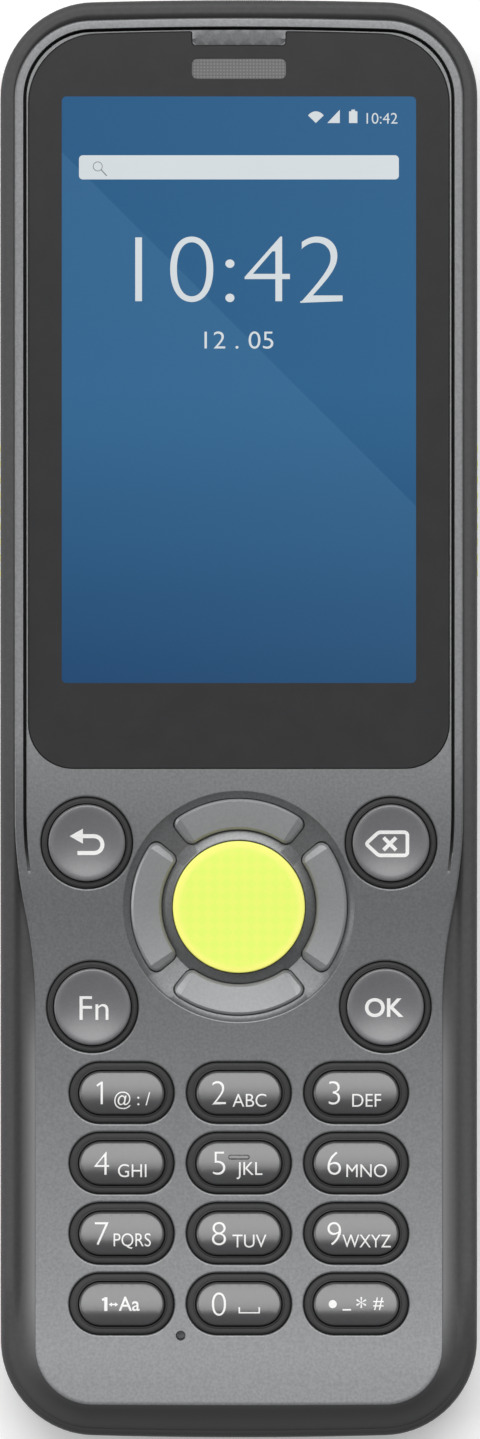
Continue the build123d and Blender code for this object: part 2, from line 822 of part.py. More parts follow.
# ---- keypad ----
def keypad_bezel():
    """Dark plate under the deck whose collars stand up round the number and round keys."""
    plate = block((-board_half_width, board_half_width), (bezel_bottom_y, bezel_top_y),
                  (plate_bottom_z, plate_top_z))
    places = list(number_places.values()) + list(round_places.values())
    for outline, place in zip(collar_outlines(0), places):
        plate += trimmed(prism(outline, (plate_bottom_z, deck_top_z)), place, collar_rise)
    through = (plate_bottom_z - cut_over, deck_top_z + cut_over)
    for opening in cap_openings() + [arc_foot_outline(turn, 0) for turn in arc_turns.values()]:
        plate -= prism(opening, through)
    plate -= many_sided((0, navigation_y), scan_key_radius + run_gap, fine_sides, through)
    return plate - many_sided(mic_place, mic_hole_radius, plain_sides, through)


def trimmed(piece, place, rise):
    """Cuts a piece off flat along the deck's slope at a place, so far over the deck."""
    size = 2 * deck_top_z
    return piece & deck_plane(place) * Pos(0, 0, rise - size / 2) * Box(size, size, size)


def cap_openings():
    numbers = [stadium(place, number_cap, run_gap) for place in number_places.values()]
    rounds = [disc(place, round_cap_radius + run_gap) for place in round_places.values()]
    return numbers + rounds


def number_key(name):
    """Stadium cap with a crowned top, on a flange that the plate holds down."""
    place = number_places[name]
    crown_reach = number_cap[1] / 2
    crown_radius = (crown_reach**2 + cap_crown**2) / (2 * cap_crown)
    top = key_rise + cap_crown
    cap = prism(stadium(place, number_cap), (flange_top_z, deck_top_z + cap_stock))
    crown = Pos(0, 0, top - crown_radius) * Rot(0, 90, 0) * Cylinder(crown_radius, body_width)
    cap &= deck_plane(place) * crown
    if name == "key_5":
        nib = Pos(0, nib_place_y, top - nib_size[2] / 3) * Box(*nib_size)
        cap += deck_plane(place) * nib
    reach = [size / 2 + flange_overhang for size in number_cap]
    x, y = place
    return cap + block((x - reach[0], x + reach[0]), (y - reach[1], y + reach[1]),
                       (flange_bottom_z, flange_top_z))


def round_key(name):
    """Round cap with a dished top for the fingertip."""
    place = round_places[name]
    cap = prism(disc(place, round_cap_radius), (flange_top_z, deck_top_z + cap_stock))
    cap = trimmed(cap, place, key_rise)
    dish = Cone(round_cap_floor, round_cap_radius - round_cap_ring, round_cap_hollow)
    cap -= deck_plane(place) * Pos(0, 0, key_rise - round_cap_hollow / 2) * dish
    return cap + many_sided(place, round_cap_radius + flange_overhang, plain_sides,
                            (flange_bottom_z, flange_top_z))


def arc_key(name):
    """Ring-sector cap whose top leans in towards the scan key."""
    turn = arc_turns[name]
    cap = prism(arc_key_outline(turn, -run_gap), (flange_top_z, deck_top_z + cap_stock))
    reach = arc_outer_radius + cap_stock
    tilt = (arc_outer_rise - arc_inner_rise) / (arc_outer_radius - arc_inner_radius)
    edge_rise = arc_outer_rise + tilt * (reach - arc_outer_radius)
    with BuildSketch() as profile:
        with BuildLine():
            Polyline(
                (0, -deck_top_z), (reach, -deck_top_z), (reach, edge_rise),
                (0, edge_rise - tilt * reach), (0, -deck_top_z),
            )
        make_face()
    dished = revolve(Plane.XZ * profile.sketch, Axis.Z)
    cap &= deck_plane((0, navigation_y)) * dished
    foot = arc_foot_outline(turn, arc_flange_overhang)
    return cap + prism(foot, (flange_bottom_z, flange_top_z))


def arc_foot_outline(turn, grow):
    """Straight-sided ring sector, for an arc key's foot and its hole in the plate."""
    lean = math.radians(arc_half_angle) + grow / arc_mid_radius
    inner = arc_inner_radius - grow
    outer = (arc_outer_radius + grow) / math.cos(lean / 3)
    angles = (-lean, -lean / 3, lean / 3, lean)
    rims = [(outer, angle) for angle in angles] + [(inner, angle) for angle in reversed(angles)]
    points = [(radius * math.cos(angle), radius * math.sin(angle)) for radius, angle in rims]
    with BuildSketch() as sketch:
        with BuildLine():
            Polyline(*points, points[0])
        make_face()
    return Pos(0, navigation_y) * Rot(0, 0, turn) * sketch.sketch


def scan_key():
    """Large round trigger key with a bevelled edge."""
    place = (0, navigation_y)
    cap = prism(disc(place, scan_key_radius), (flange_top_z, deck_top_z + cap_stock))
    cap = trimmed(cap, place, key_rise + scan_key_chamfer)
    cap = chamfer(cap.edges().sort_by(Axis.Z)[-1], scan_key_chamfer)
    return cap + many_sided(place, scan_key_radius + scan_flange_overhang, fine_sides,
                            (flange_bottom_z, flange_top_z))


def key_centres():
    places = list(number_places.values()) + list(round_places.values())
    return places + list(arc_places.values()) + [(0, navigation_y)]


def keypad_membrane():
    """Silicone sheet with a plunger under each key."""
    half = board_half_width - 2 * part_gap
    sheet = block((-half, half), membrane_y, (membrane_z, membrane_z + membrane_thickness))
    for place in key_centres():
        sheet += square_post(place, plunger_width, (membrane_z, plunger_top_z))
    return sheet


def dome_switches():
    """Low snap switches on the board, one under each key."""
    return Part() + [
        square_post(place, dome_width, (board_top_z, membrane_z)) for place in key_centres()
    ]


# ---- side keys ----
def side_key(side, y, length, ridges, proud):
    """Key bar through the side of the case, with a flange inside and ridges outside."""
    ridge_x = half_width + proud
    face_x = ridge_x - (side_ridge_rise if ridges else 0)
    inner_x = side_flange_x - side_flange_thickness
    bar = side_key_hole(y, length, side, (inner_x, face_x), 0)
    half_y = length / 2 + side_flange
    half_z = side_key_height / 2 + side_flange
    bar += block(sorted((side * inner_x, side * side_flange_x)), (y - half_y, y + half_y),
                 (side_key_z - half_z, side_key_z + half_z))
    ridge_z = side_key_height / 2 - side_ridge_end
    for index in range(ridges):
        ridge_y = y + (index - (ridges - 1) / 2) * side_ridge_pitch
        bar += block(
            sorted((side * (face_x - side_ridge_rise), side * ridge_x)),
            (ridge_y - side_ridge_half, ridge_y + side_ridge_half),
            (side_key_z - ridge_z, side_key_z + ridge_z),
        )
    return bar


def side_switches():
    """Small switches on the edges of the board, one behind each side key."""
    outer_x = side_flange_x - side_flange_thickness - side_key_travel - part_gap
    depth, width, height = side_switch
    places = [(-1, side_key_y), (1, side_key_y), (1, power_key_y)]
    return Part() + [
        block(sorted((side * (outer_x - depth), side * outer_x)), (y - width / 2, y + width / 2),
              (board_top_z, board_top_z + height))
        for side, y in places
    ]


# ---- boards and modules ----
def main_board():
    board = block((-board_half_width, board_half_width), (board_bottom_y, board_top_y),
                  (board_z, board_top_z))
    return board + block((-tongue_half_width, tongue_half_width),
                         (tongue_bottom_y, board_bottom_y + cut_over), (board_z, board_top_z))


def shield_cans():
    """Pressed cans over the processor, memory and radio."""
    cans = []
    spans = [
        ((-can_side_x, -can_middle_x), can_upper_y), ((can_middle_x, can_side_x), can_upper_y),
        ((-can_side_x, can_side_x), can_lower_y),
    ]
    for x_range, y_range in spans:
        can = block(x_range, y_range, (board_top_z, board_top_z + can_height))
        cans.append(chamfer(can.edges().group_by(Axis.Z)[-1], can_chamfer))
    return Part() + cans


def scan_engine():
    """Camera-type reader with its lens and aiming window facing the top end."""
    body = block((-engine_half_width, engine_half_width), engine_y, engine_z)
    mid_z = sum(engine_z) / 2
    face = Plane(origin=(0, engine_y[1], mid_z), x_dir=(-1, 0, 0), z_dir=(0, 1, 0))
    hole_radius, hole_depth = reader_hole
    lens_radius, lens_length = reader_lens
    body -= extrude(face * Pos(reader_x, 0) * Circle(hole_radius), -hole_depth)
    body += extrude(face * Pos(reader_x, 0, -hole_depth) * Circle(lens_radius), lens_length)
    aimer = RectangleRounded(aimer_hole[0], aimer_hole[1], aimer_corner)
    return body - extrude(face * Pos(aimer_x, 0) * aimer, -aimer_hole[2])


def scan_window():
    outer_y = top_end - window_recess
    return block(
        (-window_half_width, window_half_width), (outer_y - window_thickness, outer_y), window_z
    )


def speaker():
    x, y = speaker_place
    width, length, height = speaker_size
    return block((x - width / 2, x + width / 2), (y - length / 2, y + length / 2),
                 (floor_thickness, floor_thickness + height))


def vibration_motor():
    return many_sided(motor_place, motor_radius, fine_sides,
                      (floor_thickness, floor_thickness + motor_height))


def microphone():
    x, y = mic_place
    return block(
        (x - mic_size[0] / 2, x + mic_size[0] / 2), (y - mic_size[1] / 2, y + mic_size[1] / 2),
        (board_top_z, board_top_z + mic_size[2]),
    )


def rear_camera():
    half = camera_body / 2
    body = block((-half, half), (camera_y - half, camera_y + half),
                 (floor_thickness, floor_thickness + camera_body_height))
    return body + column((0, camera_y), lens_barrel_radius,
                         (camera_window_thickness + lens_barrel_gap, floor_thickness))


def camera_window():
    return column((0, camera_y), camera_window_radius,
                  (window_drop, window_drop + camera_window_thickness))


def flash_lens():
    return column((flash_x, camera_y), flash_radius, (window_drop, floor_thickness))


def antenna():
    """Flexible aerial stuck to the floor of the head, a track bent like a C."""
    strip = block(antenna_x, antenna_y, (floor_thickness, floor_thickness + antenna_thickness))
    return strip - block(
        (antenna_x[0] + antenna_track, antenna_x[1] + cut_over),
        (antenna_y[0] + antenna_track, antenna_y[1] - antenna_track), (0, part_z),
    )


def usb_port():
    """Reversible charging socket: pressed shell, back wall and contact tongue."""
    start = Plane(origin=(0, usb_outer_y, usb_z), x_dir=(1, 0, 0), z_dir=(0, 1, 0))
    depth = usb_inner_y - usb_outer_y
    shell = extrude(start * SlotOverall(usb_width, usb_height), depth)
    inner = SlotOverall(usb_width - 2 * usb_shell, usb_height - 2 * usb_shell)
    shell -= extrude(start * inner, depth - usb_back_wall)
    tongue = start * Pos(0, 0, usb_tongue_set_back) * Rectangle(*usb_tongue)
    return shell + extrude(tongue, depth - usb_tongue_set_back - usb_back_wall / 2)


def contact_blocks(grow, z_range):
    """Charging pads in the back, in a row across the lower end."""
    half_x = contact_size[0] / 2 + grow
    half_y = contact_size[1] / 2 + grow
    blocks = []
    for index in range(contact_count):
        x = (index - (contact_count - 1) / 2) * contact_pitch
        blocks.append(block((x - half_x, x + half_x),
                            (contact_y - half_y, contact_y + half_y), z_range))
    return blocks


def cradle_contacts():
    return Part() + contact_blocks(0, (contact_recess, contact_top_z))


def strap_bar():
    return Pos(0, bar_y, bar_z) * Rot(0, 90, 0) * Cylinder(bar_radius, 2 * bar_top_end)


# ---- battery pack ----
def battery_terminals():
    """Sprung connector block on the board that reaches down to the pack's pads."""
    return block(terminal_x, terminal_y, (pack_block_z + pack_gap, board_z))


def battery_cover():
    """Back skin and tray of the pack, with its two hooks and the latch's runway."""
    skin = prism(slab(pack_half_width, pack_top_y, pack_bottom_y, pack_corner), (0, pack_skin))
    tray = block((-pack_block_half, pack_block_half), (pack_block_bottom_y, pack_block_top_y),
                 (pack_skin, pack_block_z))
    tray -= block((-cell_half_width, cell_half_width), (cell_bottom_y, cell_top_y),
                  (pack_skin, pack_block_z + cut_over))
    pack = chamfer(skin.edges().group_by(Axis.Z)[0], skin_chamfer) + tray
    for side in (-1, 1):
        pack += block(
            (side * hook_x - hook_half_width, side * hook_x + hook_half_width),
            (pack_block_top_y - hook_root, pack_top_y + hook_length),
            (hook_z, hook_z + hook_thickness),
        )
    runway_x = latch_half_width + run_gap
    upper_y = latch_y + latch_top_end + latch_drop
    pack -= block(
        (-runway_x, runway_x),
        (latch_y - latch_top_end - latch_travel - latch_drop, upper_y),
        (-cut_over, latch_plate + face_gap),
    )
    bolt_x = bolt_half_width + run_gap
    return pack - block((-bolt_x, bolt_x), (pack_bottom_y - cut_over, upper_y),
                        (latch_plate, latch_plate + bolt_thickness + bolt_top_gap))


def battery_cell():
    half = cell_half_width - cell_gap
    cell = block((-half, half), (cell_bottom_y + cell_gap, cell_top_y - cell_gap),
                 (pack_skin, pack_block_z - cell_drop))
    return chamfer(cell.edges().filter_by(Axis.Y), cell_chamfer)


def pack_contacts():
    """Pads on the top face of the tray's upper wall, under the connector."""
    return Part() + [
        block((x - pad_half_width, x + pad_half_width),
              (terminal_y[0] + part_gap, terminal_y[1] - part_gap),
              (pack_block_z - pad_thickness, pack_block_z))
        for x in pad_places
    ]


def battery_latch():
    """Thumb slide and its bolt, which shoots into the rear housing."""
    upper_y = latch_y + latch_top_end
    latch = block((-latch_half_width, latch_half_width),
                  (latch_y - latch_top_end, upper_y), (latch_drop, latch_plate))
    latch += block((-bolt_half_width, bolt_half_width), (pack_block_bottom_y + part_gap, upper_y),
                   (latch_plate, latch_plate + bolt_thickness))
    grip = latch_half_width - grip_margin
    for offset in grip_offsets:
        y = latch_y + offset
        latch += block((-grip, grip), (y - grip_radius, y + grip_radius),
                       (latch_drop - grip_radius, latch_drop + grip_radius))
    return latch


# ---- fasteners ----
def housing_screws():
    screws = Part()
    for place in all_screws:
        screw = many_sided(place, screw_head_radius, fine_sides,
                           (screw_seat_z - screw_head_height, screw_seat_z))
        screw += many_sided(place, screw_shank_radius, plain_sides, (screw_seat_z, screw_tip_z))
        recess = Pos(place[0], place[1], screw_seat_z - screw_head_height)
        screw -= recess * extrude(RegularPolygon(screw_socket[0], 6), screw_socket[1])
        screws += screw
    return screws


def screw_inserts():
    inserts = Part()
    for place in all_screws:
        z_range = (part_z, insert_top_z)
        inserts += (many_sided(place, insert_radius, plain_sides, z_range)
                    - many_sided(place, screw_shank_radius + thread_gap, plain_sides, z_range))
    return inserts


pieces = {
    "front_housing": front_housing(),
    "rear_housing": rear_housing(),
    "bumper": bumper(),
    "housing_gasket": housing_gasket(),
    "display_lens": display_lens(),
    "earpiece_mesh": earpiece_mesh(),
    "display_module": display_module(),
    "mid_frame": mid_frame(),
    "earpiece": earpiece(),
    "keypad_bezel": keypad_bezel(),
    "keypad_membrane": keypad_membrane(),
    "dome_switches": dome_switches(),
    "scan_key": scan_key(),
    "scan_key_left": side_key(-1, side_key_y, side_key_length, side_ridges, side_key_proud),
    "scan_key_right": side_key(1, side_key_y, side_key_length, side_ridges, side_key_proud),
    "power_key": side_key(1, power_key_y, power_key_length, 0, -power_key_drop),
    "side_switches": side_switches(),
    "main_board": main_board(),
    "shield_cans": shield_cans(),
    "scan_engine": scan_engine(),
    "scan_window": scan_window(),
    "speaker": speaker(),
    "vibration_motor": vibration_motor(),
    "microphone": microphone(),
    "rear_camera": rear_camera(),
    "camera_window": camera_window(),
    "flash_lens": flash_lens(),
    "antenna": antenna(),
    "usb_port": usb_port(),
    "cradle_contacts": cradle_contacts(),
    "strap_bar": strap_bar(),
    "battery_terminals": battery_terminals(),
    "battery_cover": battery_cover(),
    "battery_cell": battery_cell(),
    "pack_contacts": pack_contacts(),
    "battery_latch": battery_latch(),
    "housing_screws": housing_screws(),
    "screw_inserts": screw_inserts(),
}
pieces |= {name: number_key(name) for name in number_places}
pieces |= {name: round_key(name) for name in round_places}
pieces |= {name: arc_key(name) for name in arc_turns}

for name, piece in pieces.items():
    export_step(piece, f"parts/{name}.step")
print(len(pieces), "pieces written")
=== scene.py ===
import math

import bmesh
import bpy
from mathutils import Matrix, Vector
from mathutils.geometry import delaunay_2d_cdt


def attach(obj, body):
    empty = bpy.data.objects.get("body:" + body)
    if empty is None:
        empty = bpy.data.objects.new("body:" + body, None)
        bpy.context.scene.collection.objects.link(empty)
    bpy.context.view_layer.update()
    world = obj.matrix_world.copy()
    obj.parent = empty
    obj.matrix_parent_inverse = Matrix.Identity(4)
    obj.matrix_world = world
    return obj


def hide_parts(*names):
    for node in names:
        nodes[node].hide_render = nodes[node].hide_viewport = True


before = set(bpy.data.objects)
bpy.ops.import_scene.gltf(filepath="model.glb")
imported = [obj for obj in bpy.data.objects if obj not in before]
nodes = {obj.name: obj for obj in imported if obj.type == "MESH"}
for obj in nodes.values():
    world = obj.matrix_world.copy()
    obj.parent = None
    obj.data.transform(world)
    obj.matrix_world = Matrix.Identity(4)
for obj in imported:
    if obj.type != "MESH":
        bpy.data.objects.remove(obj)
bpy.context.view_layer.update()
scene = bpy.context.scene
scene.view_settings.view_transform = "Standard"

# ---- Camera ----
# A long lens straight above the terminal, which lies on its back with its screen up.
# Sizes all through are in millimetres; finished meshes are turned to metres.
mm = 0.001
view_height = 184.1  # what the longer side of the view takes in at view_plane's height
view_plane = 18.8
view_distance = 2100.0
view_middle = (0.14, -0.02)
lens_data = bpy.data.cameras.new("overhead_camera")
lens_data.type = "PERSP"
lens_data.sensor_fit = "AUTO"
lens_data.sensor_width = 36.0
lens_data.lens = lens_data.sensor_width * view_distance / view_height
camera = bpy.data.objects.new("overhead_camera", lens_data)
camera.location = (view_middle[0] * mm, view_middle[1] * mm, (view_plane + view_distance) * mm)
scene.collection.objects.link(camera)
scene.camera = camera


# ---- Table and studio light ----
# A matt white sheet under the terminal, a broad soft box beyond its top end, a weaker one on
# each side, and a pale room. Together they light an upward face at about its own colour.
def linear(code):
    """sRGB hex to linear RGBA."""
    parts = [int(code[at:at + 2], 16) / 255 for at in (1, 3, 5)]
    return [c / 12.92 if c <= 0.04045 else ((c + 0.055) / 1.055) ** 2.4 for c in parts] + [1.0]


def feed(node, feeds):
    """Sets a node's inputs, each to a number, a hex colour, a socket, or the first live output
    of another node."""
    for key, value in feeds.items():
        if isinstance(value, bpy.types.Node):
            value = next(socket for socket in value.outputs if socket.enabled)
        if isinstance(value, bpy.types.NodeSocket):
            node.id_data.links.new(value, node.inputs[key])
        else:
            node.inputs[key].default_value = linear(value) if isinstance(value, str) else value


def add(tree, kind, feeds={}, **settings):
    """Adds a node with its settings and links."""
    made = tree.nodes.new("ShaderNode" + kind)
    for key, value in settings.items():
        setattr(made, key, value)
    feed(made, feeds)
    return made


def new_material(name, **values):
    """A new material, its node tree, the place on the piece, and its shader. Values are those
    of the shader's sockets, with _ for a space."""
    material = bpy.data.materials.new(name)
    material.use_nodes = True
    tree = material.node_tree
    tree.nodes.clear()
    shader = add(tree, "BsdfPrincipled", {key.replace("_", " "): value
                                          for key, value in values.items()})
    add(tree, "OutputMaterial", {"Surface": shader})
    return material, tree, add(tree, "TexCoord").outputs["Object"], shader


def as_object(name, bm, *materials):
    """Puts a mesh into the scene as an object."""
    mesh = bpy.data.meshes.new(name)
    bm.to_mesh(mesh)
    bm.free()
    for material in materials:
        mesh.materials.append(material)
    made = bpy.data.objects.new(name, mesh)
    scene.collection.objects.link(made)
    return made


table_size = 4000.0
table_gap = 0.05
paper_lift = 0.22  # seen by the camera, the sheet is this much nearer to white
# Uncoated paper: white and dull, with a faint tooth.
paper, tree, place, shader = new_material(
    "matt_white_paper", Base_Color="#f6f6f5", Roughness=0.9, Emission_Color="#ffffff")
tooth = add(tree, "TexNoise", {"Vector": place, "Scale": 900.0})
relief = add(tree, "Bump", {"Height": tooth, "Strength": 0.05, "Distance": 0.1 * mm})
seen_by = add(tree, "LightPath").outputs
seen = seen_by["Is Camera Ray"]
for other in ("Is Glossy Ray", "Is Transmission Ray"):
    seen = add(tree, "Math", {0: seen, 1: seen_by[other]}, operation="MAXIMUM")
lift = add(tree, "Math", {0: seen, 1: paper_lift}, operation="MULTIPLY")
feed(shader, {"Normal": relief, "Emission Strength": lift})
bm = bmesh.new()
bmesh.ops.create_grid(bm, x_segments=1, y_segments=1, size=table_size / 2 * mm)
table = as_object("table", bm, paper)
table.location.z = -table_gap * mm

lamps = [
    # name, place, width and height in mm, watts
    ("key_softbox", (0, 1900, 4150), (3900, 3300), 180.0),
    ("left_softbox", (-2400, 0, 1000), (1200, 1800), 18.0),
    ("right_softbox", (2400, 0, 1000), (1200, 1800), 3.0),
]
for name, place, size, watts in lamps:
    lamp = bpy.data.lights.new(name, "AREA")
    lamp.shape = "RECTANGLE"
    lamp.size, lamp.size_y = size[0] * mm, size[1] * mm
    lamp.energy = watts
    holder = bpy.data.objects.new(name, lamp)
    holder.location = Vector(place) * mm
    holder.rotation_euler = (-Vector(place)).to_track_quat("-Z", "Y").to_euler()
    holder.visible_camera = False
    scene.collection.objects.link(holder)
world = bpy.data.worlds.new("pale_room")
scene.world = world
world.use_nodes = True
world.node_tree.nodes.clear()
air = add(world.node_tree, "Background", {"Color": "#f4f6f8", "Strength": 0.25})
add(world.node_tree, "OutputWorld", {"Surface": air})


# ---- Deck line ----
# Every outside piece of the front follows the same line along the case: flat round the
# lens, then rolling over a brow into a long shallow dish. The rim's side rails run out into it.
deck_top = 19.9
rim_top = 20.4
valley_y = -51.0
steep_y = -23.0
lower_radius = 367.0
upper_radius = 268.0
brow_radius = 187.0
steep_slope = math.asin((steep_y - valley_y) / upper_radius)
steep_top = deck_top - brow_radius * (1 - math.cos(steep_slope))
valley_top = steep_top - upper_radius * (1 - math.cos(steep_slope))
brow_y = steep_y + brow_radius * math.sin(steep_slope)
crease_y = -83.1  # below here the deck goes on straight, a little less steep
last_slope = math.radians(3.9)
rail_start_y = -2.6
rail_end_y = -19.3


def deck(y):
    """Height of the deck."""
    if y < crease_y:
        return deck(crease_y) + (crease_y - y) * math.tan(last_slope)
    if y < valley_y:
        return valley_top + lower_radius - math.sqrt(lower_radius**2 - (y - valley_y)**2)
    if y < steep_y:
        return valley_top + upper_radius - math.sqrt(upper_radius**2 - (y - valley_y)**2)
    if y < brow_y:
        return deck_top - brow_radius + math.sqrt(brow_radius**2 - (y - brow_y)**2)
    return deck_top


def eased(value, start, end):
    """0 up to start, 1 from end on, and a smooth run between them."""
    run = min(max((value - start) / (end - start), 0), 1)
    return run * run * (3 - 2 * run)


def rail(y):
    """Height of the rim and of its side rails, which run out into the deck."""
    return deck(y) + (rim_top - deck(y)) * eased(y, rail_end_y, rail_start_y)


# ---- Front housing ----
# Moulded in grey plastic under a satin lacquer with fine metal flake: a rim and two rails
# round the lens, a narrow groove inside them, and the dished deck with a hole for each
# collar. A ring-shaped trough round the scan key takes the four arc keys.
part_z = 9.6
head_half = 28.7
grip_half = 26.05
front_top = 89.7
front_bottom = -87.75
end_crown = 0.7
grip_crown = 0.12
rim_rounds = (0.25, 0.06)  # of the rim and rails, and along the grip
rail_width = 1.2
rail_narrowing = (0.6, 9.0)  # by how much, and over what length, below the rails' ends
groove_edge = 0.1
groove_wall = 0.02
groove_width = 0.35
groove_depth = 1.8
groove_end = (-15.5, -19.3)
waist_y = (-17.81, -31.19)
waist_tangent = 6.0
grip_run = (waist_y[0], waist_y[0] - 20)  # the edge changes here from the head's to the grip's
lens_half = 26.93
lens_top = 88.0
lens_bottom = -6.3
lens_gap = 0.05
lens_thickness = 1.2
tab = (6.0, 86.2)  # half its width, and its lower edge, which dips to the lens
tab_dip = 0.18
lip_round = 0.2
plate_top = 15.5
number_size = (10.9, 5.6)
collar_size = (13.3, 7.75)
collar_gap = 0.08
round_cap = 4.93
round_collar = 5.8
column_pitch = 15.0
row_pitch = 9.0
first_row_y = -47.8
number_names = ["key_1", "key_2", "key_3", "key_4", "key_5", "key_6", "key_7", "key_8", "key_9",
                "key_case", "key_0", "key_symbol"]
number_places = {name: ((at % 3 - 1) * column_pitch, first_row_y - at // 3 * row_pitch)
                 for at, name in enumerate(number_names)}
round_places = {"key_back": (-19.45, -15.8), "key_delete": (19.45, -15.8),
                "key_fn": (-18.75, -36.8), "key_ok": (18.75, -36.8)}
navigation_y = -24.0
scan_radius = 8.45
arc_radii = (9.9, 13.85)
arc_middle = sum(arc_radii) / 2
arc_half_angle = math.radians(39)
arc_corner = 1.1
arc_cut = (-4.0, 2.0)  # heights over the deck between which the trough is cut open for them
arc_turns = {"nav_up": 90, "nav_left": 180, "nav_down": 270, "nav_right": 0}
run_gap = 0.12
trough_rim = 14.88
trough_sides = 180
lip_border = 0.1  # ring of flat deck round each opening, which keeps its shading even
mic_place = (-7.45, -78.85)
mic_radius = 0.55
mic_bevel = 0.1
deck_step = 2.0
short_run = 3.0  # straight stretches under this length get four points
same_point = 1e-4
least_turn = 1e-4  # in radians; below it a corner is straight
merge_reach = 1e-5


def rounded(corners, arc=20, run=40):
    """Points of a closed outline, anticlockwise. A corner is its x and y and how far from it
    its rounding starts; every rounding and every straight run has a set number of points."""
    points = []
    for before, corner, after in zip(corners[-1:] + corners, corners, corners[1:] + corners[:1]):
        here, following = Vector(corner[:2]), Vector(after[:2])
        start = here + (Vector(before[:2]) - here).normalized() * corner[2]
        end = here + (following - here).normalized() * corner[2]
        side = 1 if (start - here).cross(end - here) < 0 else -1
        turn = math.pi - (start - here).angle(end - here)
        if turn > least_turn:
            across = Vector((start.y - here.y, here.x - start.x)) * side
            centre = start + across / math.tan(turn / 2)
            points += [centre + Matrix.Rotation(turn * step / arc * side, 2) @ (start - centre)
                       for step in range(arc + 1)]
        else:
            points += [start.lerp(end, step / arc) for step in range(arc + 1)]
        leave = following + (here - following).normalized() * after[2]
        steps = run if (leave - end).length > short_run else 4
        points += [end.lerp(leave, step / steps) for step in range(1, steps)]
    return [spot for spot, last in zip(points, points[-1:] + points)
            if (spot - last).length > same_point]


def both_sides(corners):
    """Corners of the right half from bottom to top, and the same mirrored."""
    return corners + [(-x, y, tangent) for x, y, tangent in reversed(corners)]


def bowed(points, top_half, bottom_half, bottom_crown=end_crown):
    """Ends that bow out a little between their corners."""
    reach = front_top - 20  # only the two ends lie further out than this
    moved = []
    for x, y in points:
        half = top_half if y > 0 else bottom_half
        crown = end_crown if y > 0 else bottom_crown
        bow = crown * (1 - (x / half)**2) if abs(y) > reach else 0.0
        moved.append(Vector((x, y + math.copysign(bow, y))))
    return moved


def rim_at(bm, points, height):
    """A rim of points at height(x, y)."""
    return [bm.verts.new((x, y, height(x, y))) for x, y in points]


def skin(bm, first, second):
    """Faces between two rims with as many points."""
    for a, b, c, d in zip(first, first[1:] + first[:1], second[1:] + second[:1], second):
        bm.faces.new((a, b, c, d))
    return second


def roll(bm, rim, inset, height):
    """A strip of faces from an anticlockwise rim to a new one that lies inset further in along
    its own normal, at height(x, y)."""
    spots = []
    for before, point, after in zip(rim[-1:] + rim, rim, rim[1:] + rim[:1]):
        along = (after.co - before.co).xy.normalized()
        shift = inset(point.co.y) if callable(inset) else inset
        spots.append(point.co.xy + Vector((-along.y, along.x)) * shift)
    return skin(bm, rim, rim_at(bm, spots, height))


def close(bm, outside, *openings, spacing=0.0, height=None):
    """Fills the area inside a rim, apart from the openings in it. With a spacing, an even net
    of points at height(x, y) is worked in."""
    ends, loops = [], []
    for rim in (outside, *openings):
        loops.append(list(range(len(ends), len(ends) + len(rim))))
        ends += rim
    spots = [point.co.xy for point in ends]
    if spacing:
        low = [min(point.co[axis] for point in outside) for axis in (0, 1)]
        high = [max(point.co[axis] for point in outside) for axis in (0, 1)]
        counts = [int((high[axis] - low[axis]) / spacing) for axis in (0, 1)]
        spots += [Vector((low[0] + across * spacing, low[1] + along * spacing))
                  for across in range(1, counts[0] + 1) for along in range(1, counts[1] + 1)]
    places, _, faces, sources, _, owners = delaunay_2d_cdt(spots, [], loops, 1, 1e-6)
    corners = {}
    made = []
    for face, owner in zip(faces, owners):
        if list(owner) != [0]:
            continue
        for at in face:
            if at not in corners:
                known = [source for source in sources[at] if source < len(ends)]
                x, y = places[at]
                corners[at] = ends[known[0]] if known else bm.verts.new((x, y, height(x, y)))
        made.append(bm.faces.new([corners[at] for at in face]))
    return made


def quarter(steps):
    """Steps of a quarter round of radius 1: how far in each goes, and how far it ends below
    the top."""
    turns = [math.radians(90 * at / steps) for at in range(steps + 1)]
    return [(math.cos(start) - math.cos(end), 1 - math.sin(end))
            for start, end in zip(turns, turns[1:])]


def over(rise):
    """Height function that stays so far over the deck."""
    return lambda x, y: deck(y) + rise


def level(z):
    return lambda x, y: z


def made_piece(name, bm, body, slot, *finishes, sharp=35.0, weighted=True):
    """Turns a mesh in millimetres into a piece that rides on a body. Edges that bend by more
    than sharp degrees stay crisp."""
    bmesh.ops.remove_doubles(bm, verts=bm.verts, dist=merge_reach)
    bmesh.ops.recalc_face_normals(bm, faces=bm.faces)
    for face in bm.faces:
        face.smooth = True
    for edge in bm.edges:
        edge.smooth = len(edge.link_faces) < 2 or edge.calc_face_angle(0) < math.radians(sharp)
    bmesh.ops.scale(bm, vec=(mm, mm, mm), verts=bm.verts)
    made = as_object(name, bm, *finishes)
    if weighted:
        made.modifiers.new("even_normals", "WEIGHTED_NORMAL").keep_sharp = True
    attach(made, body)
    return made


def finish(name, base, fleck, roughness, size=0.4, amount=0.5, bump=0.01, **values):
    """A finish mottled with a second colour. The size of its flecks and the bump are in mm, and
    amount is how near the flecks come to the second colour."""
    material, tree, place, shader = new_material(name, Roughness=roughness, **values)
    grain = add(tree, "TexNoise", {"Vector": place, "Scale": 0.5 / (size * mm), "Detail": 3.0,
                                   "Roughness": 0.6})
    spread = add(tree, "MapRange", {"Value": grain, "From Min": 0.35, "From Max": 0.65,
                                    "To Max": amount})
    tone = add(tree, "Mix", {0: spread, 6: base, 7: fleck}, data_type="RGBA")
    relief = add(tree, "Bump", {"Height": grain, "Strength": 0.5, "Distance": bump * mm})
    feed(shader, {"Base Color": tone, "Normal": relief})
    return material


